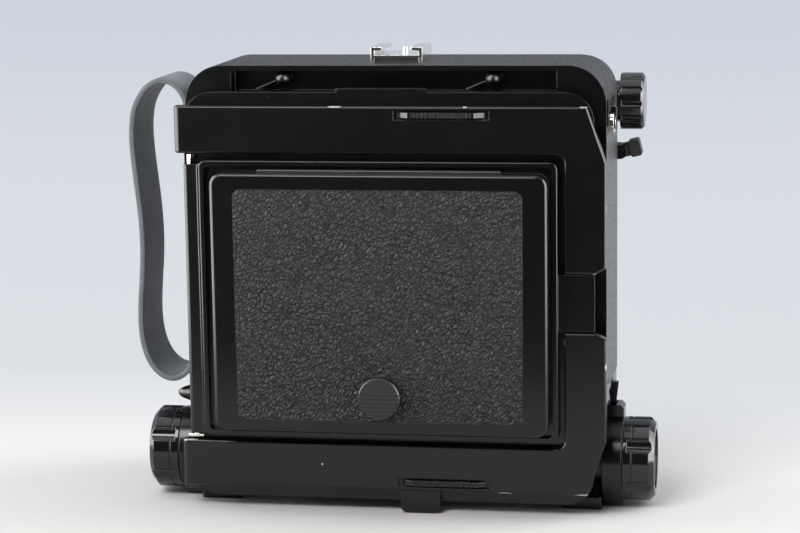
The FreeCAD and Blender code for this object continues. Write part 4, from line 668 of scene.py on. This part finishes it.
def make_camera():
    yaw, pitch, roll = (math.radians(a) for a in (CAMERA_YAW, CAMERA_PITCH, CAMERA_ROLL))
    forward = Vector((-math.sin(yaw) * math.cos(pitch), math.cos(yaw) * math.cos(pitch), -math.sin(pitch)))
    right = Vector((math.cos(yaw), math.sin(yaw), 0))
    up = right.cross(forward)
    turned_right = math.cos(roll) * right + math.sin(roll) * up
    turned_up = -math.sin(roll) * right + math.cos(roll) * up
    data = bpy.data.cameras.new("photograph view")
    data.sensor_width = 36.0
    data.lens = FOCAL_PX / IMAGE_W * data.sensor_width
    data.clip_start = 0.01
    camera = bpy.data.objects.new("photograph view", data)
    bpy.context.collection.objects.link(camera)
    axes = Matrix((turned_right, turned_up, -forward)).transposed()
    camera.matrix_world = Matrix.Translation(CAMERA_PLACE) @ axes.to_4x4()
    bpy.context.scene.camera = camera


def area_lamp(name, place, target, size, power, colour):
    data = bpy.data.lights.new(name, "AREA")
    data.shape = "RECTANGLE"
    data.size, data.size_y = size
    data.energy = power
    data.color = colour
    lamp = bpy.data.objects.new(name, data)
    bpy.context.collection.objects.link(lamp)
    lamp.location = place
    lamp.rotation_euler = (Vector(target) - Vector(place)).to_track_quat("-Z", "Y").to_euler()


# Metres along the sweep: where lamp light gives way to the even tone, and where the tone runs
LIT_TO_EVEN = (0.02, 0.22)
TONE_RUN = (0.3, 2.7)
# What gloss sees of the paper: it ends at the table's sides, beside and before the object
SIDE_FADE_X = (0.33, 0.62)
SIDE_FADE_AWAY = (0.50, 0.25)
FRONT_FADE_Y = (-0.27, -0.37)


def backdrop_finish(stage):
    """Paper that takes the lamps near the object and keeps an even tone far behind it."""
    material, tree, shader, place = start_material("paper sweep")
    parts = put(tree, "ShaderNodeSeparateXYZ", {0: place}).outputs
    away = math_node(tree, "ADD", parts[1], parts[2])
    tone = mix_colour(tree, ramp(tree, away, *TONE_RUN), (*stage.middle_colour, 1),
                      (*stage.backdrop_colour, 1))
    path = put(tree, "ShaderNodeLightPath").outputs
    seen = math_node(tree, "MAXIMUM", path["Is Camera Ray"], path["Is Glossy Ray"])
    share = math_node(tree, "MULTIPLY", seen, ramp(tree, away, *LIT_TO_EVEN))
    base = mix_colour(tree, share, (*stage.floor_colour, 1), (0.0, 0.0, 0.0, 1))
    wire(tree, shader, Base_Color=base, Emission_Color=tone, Emission_Strength=share, Roughness=0.8,
         Specular_IOR_Level=0.1)
    aside = ramp(tree, math_node(tree, "ABSOLUTE", parts[0]), *SIDE_FADE_X)
    open_side = math_node(tree, "MULTIPLY", aside, ramp(tree, away, *SIDE_FADE_AWAY))
    ended = math_node(tree, "MAXIMUM", open_side, ramp(tree, parts[1], *FRONT_FADE_Y))
    gone = math_node(tree, "MULTIPLY", path["Is Glossy Ray"], ended)
    clear = put(tree, "ShaderNodeBsdfTransparent").outputs[0]
    blend = put(tree, "ShaderNodeMixShader", {0: gone, 1: shader.outputs[0], 2: clear}).outputs[0]
    tree.links.new(blend, tree.nodes["Material Output"].inputs["Surface"])
    return material


# Soft edges of the two boxes, as parts of a direction from the object
BOX_FOOT = (-0.80, -0.60)
BOX_HEAD = (0.75, 0.55)
LEFT_BOX = ((-0.42, -0.56), (0.50, 0.15))
RIGHT_BOX = ((0.55, 0.68), (0.40, 0.05))


def soft_boxes(tree, parts):
    """Mask of the two large soft boxes beside the table, as they show in gloss."""
    height = math_node(tree, "MULTIPLY", ramp(tree, parts[2], *BOX_FOOT), ramp(tree, parts[2], *BOX_HEAD))
    left, right = (math_node(tree, "MULTIPLY", ramp(tree, parts[0], *across), ramp(tree, parts[1], *along))
                   for across, along in (LEFT_BOX, RIGHT_BOX))
    return math_node(tree, "MULTIPLY", height, math_node(tree, "ADD", left, right), clamp=True)


SWEEP_SIZE = (9.0, 5.4, 1.0)
SWEEP_MIDDLE = (0, 0.1, -0.00005)
SWEEP_RISE = (0, 0.3, 3.2)
SWEEP_BEND = 1.1
ROOM_TURN = (-0.45, 0.10)
BOX_TINT = (1.0, 0.99, 0.98, 1)

# Each lamp: its place, size, share of the main power and colour
LAMP_AIM = (0, 0, AXIS_Z)
LAMPS = {
    "left soft lamp": ((-1.35, -0.05, 0.75), (0.9, 1.3), 0.6, (1.0, 0.99, 0.98)),
    "right soft lamp": ((1.30, 0.35, 0.80), (0.9, 1.3), 1.45, (0.97, 0.99, 1.0)),
    "top soft lamp": ((0.0, -0.05, 1.60), (1.4, 1.0), 0.55, (1.0, 1.0, 1.0)),
    "front soft lamp": ((-0.45, -1.15, 1.25), (0.8, 0.6), 1.8, (1.0, 0.99, 0.98)),
}


def make_sweep(stage):
    """The table and the backdrop behind it, bent up in one piece."""
    deselect()
    bpy.ops.mesh.primitive_plane_add(size=1.0, location=(0, 0, 0))
    floor = named(bpy.context.object, "paper_sweep")
    bpy.ops.transform.resize(value=SWEEP_SIZE)
    bpy.ops.transform.translate(value=SWEEP_MIDDLE)
    bpy.ops.object.transform_apply(location=True, rotation=True, scale=True)
    bpy.ops.object.mode_set(mode="EDIT")
    select_where(floor, "EDGE", lambda e: all(v.co.y > 0 for v in e.verts))
    bpy.ops.mesh.extrude_region_move(TRANSFORM_OT_translate={"value": SWEEP_RISE})
    back = SWEEP_MIDDLE[1] + SWEEP_SIZE[1] / 2
    select_where(floor, "EDGE", lambda e: all(abs(v.co.y - back) < MM and v.co.z < MM for v in e.verts))
    bpy.ops.mesh.bevel(offset=SWEEP_BEND, segments=16)
    bpy.ops.object.mode_set(mode="OBJECT")
    shade(floor, 1.0)
    dress(floor, backdrop_finish(stage))


def make_room(stage):
    """A room that is dark behind the lens, with soft boxes that only gloss sees."""
    world = bpy.data.worlds.new("studio")
    bpy.context.scene.world = world
    world.use_nodes = True
    tree = world.node_tree
    way = put(tree, "ShaderNodeTexCoord").outputs["Generated"]
    parts = put(tree, "ShaderNodeSeparateXYZ", {0: way}).outputs
    tint = mix_colour(tree, ramp(tree, parts[1], *ROOM_TURN), (*stage.studio_dark, 1),
                      (*stage.middle_colour, 1))
    glossy = put(tree, "ShaderNodeLightPath").outputs["Is Glossy Ray"]
    boxes = math_node(tree, "MULTIPLY", soft_boxes(tree, parts), glossy)
    shade_node = tree.nodes["Background"]
    tree.links.new(mix_colour(tree, boxes, tint, BOX_TINT), shade_node.inputs["Color"])
    level = ramp(tree, boxes, 0.0, 1.0, stage.world_strength, stage.soft_box_level)
    tree.links.new(level, shade_node.inputs["Strength"])


def make_stage(stage):
    """The paper sweep, the room and the four soft lamps."""
    make_sweep(stage)
    make_room(stage)
    for name, (place, size, share, colour) in LAMPS.items():
        area_lamp(name, place, LAMP_AIM, size, stage.lamp_power * share, colour)
    bpy.context.scene.view_settings.view_transform = "Standard"


def dress_nodes():
    """Gives every CAD node that stays in view its finish."""
    for finish, names in NODE_FINISH.items():
        for name in names.split():
            dress(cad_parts[name], MATERIALS[finish])


# Settings, operators and the panel

class FC_Looks(bpy.types.PropertyGroup):
    """Colours and grain of the object's finishes."""

    enamel_colour: bpy.props.FloatVectorProperty(
        name="Enamel", description="Colour of the black enamel", subtype="COLOR", size=3, default=BLACK,
        min=0.0, max=1.0)
    enamel_roughness: bpy.props.FloatProperty(
        name="Enamel roughness", description="How matt the enamel is", subtype="FACTOR", default=0.22,
        min=0.0, max=1.0)
    leather_colour: bpy.props.FloatVectorProperty(
        name="Leather", description="Colour of the leather covering", subtype="COLOR", size=3,
        default=(0.027, 0.0275, 0.0285), min=0.0, max=1.0)
    strap_colour: bpy.props.FloatVectorProperty(
        name="Strap", description="Colour of the strap's leather", subtype="COLOR", size=3,
        default=(0.140, 0.149, 0.166), min=0.0, max=1.0)
    grain_scale: bpy.props.FloatProperty(
        name="Grain scale", description="Grains per metre of the leather covering", default=740.0, min=50.0)


class FC_Stage(bpy.types.PropertyGroup):
    """Floor, backdrop and lamps."""

    floor_colour: bpy.props.FloatVectorProperty(
        name="Floor", description="Colour of the paper near the object", subtype="COLOR", size=3,
        default=(0.77, 0.755, 0.745), min=0.0, max=1.0)
    middle_colour: bpy.props.FloatVectorProperty(
        name="Middle", description="Tone of the paper just behind the object", subtype="COLOR", size=3,
        default=(0.69, 0.717, 0.757), min=0.0, max=1.0)
    backdrop_colour: bpy.props.FloatVectorProperty(
        name="Backdrop", description="Tone of the paper far behind the object", subtype="COLOR", size=3,
        default=(0.575, 0.62, 0.695), min=0.0, max=1.0)
    studio_dark: bpy.props.FloatVectorProperty(
        name="Studio", description="Colour of the room behind the lens", subtype="COLOR", size=3,
        default=(0.07, 0.07, 0.072), min=0.0, max=1.0)
    world_strength: bpy.props.FloatProperty(
        name="World strength", description="Level of the room's light", default=0.8, min=0.0)
    soft_box_level: bpy.props.FloatProperty(
        name="Soft boxes", description="Level of the soft boxes as gloss shows them", default=10.0, min=0.0)
    lamp_power: bpy.props.FloatProperty(
        name="Lamp power", description="Power of the main lamp", subtype="POWER", default=10.0, min=0.0)


class FC_OT_stage(bpy.types.Operator):
    """Make the paper sweep, the lamps and the camera"""

    bl_idname = "field_camera.stage"
    bl_label = "Stage"

    def execute(self, context):
        make_camera()
        make_stage(context.scene.field_camera_stage)
        return {"FINISHED"}


class FC_OT_finishes(bpy.types.Operator):
    """Make the finishes and give them to the solids"""

    bl_idname = "field_camera.finishes"
    bl_label = "Finishes"

    def execute(self, context):
        build_materials(context.scene.field_camera_looks)
        dress_nodes()
        return {"FINISHED"}


class FC_OT_strap(bpy.types.Operator):
    """Make the carrying strap"""

    bl_idname = "field_camera.strap"
    bl_label = "Strap"

    def execute(self, context):
        make_strap()
        return {"FINISHED"}


class FC_OT_bellows(bpy.types.Operator):
    """Make the pleated bellows in their three lengths"""

    bl_idname = "field_camera.bellows"
    bl_label = "Bellows"

    def execute(self, context):
        make_all_bellows()
        return {"FINISHED"}


class FC_PT_panel(bpy.types.Panel):
    """Buttons for each group of pieces"""

    bl_label = "Field Camera"
    bl_idname = "FC_PT_panel"
    bl_space_type = "VIEW_3D"
    bl_region_type = "UI"
    bl_category = "Field Camera"

    def draw(self, context):
        for settings in (context.scene.field_camera_looks, context.scene.field_camera_stage):
            for key in settings.__annotations__:
                self.layout.prop(settings, key)
        for operator in (FC_OT_stage, FC_OT_finishes, FC_OT_strap, FC_OT_bellows):
            self.layout.operator(operator.bl_idname)


CLASSES = (FC_Looks, FC_Stage, FC_OT_stage, FC_OT_finishes, FC_OT_strap, FC_OT_bellows, FC_PT_panel)


def register():
    for cls in CLASSES:
        bpy.utils.register_class(cls)
    bpy.types.Scene.field_camera_looks = bpy.props.PointerProperty(type=FC_Looks)
    bpy.types.Scene.field_camera_stage = bpy.props.PointerProperty(type=FC_Stage)


def unregister():
    del bpy.types.Scene.field_camera_stage
    del bpy.types.Scene.field_camera_looks
    for cls in reversed(CLASSES):
        bpy.utils.unregister_class(cls)


def main():
    register()
    bpy.ops.field_camera.stage()
    bpy.ops.field_camera.finishes()
    bpy.ops.field_camera.strap()
    bpy.ops.field_camera.bellows()


if __name__ == "__main__":
    main()
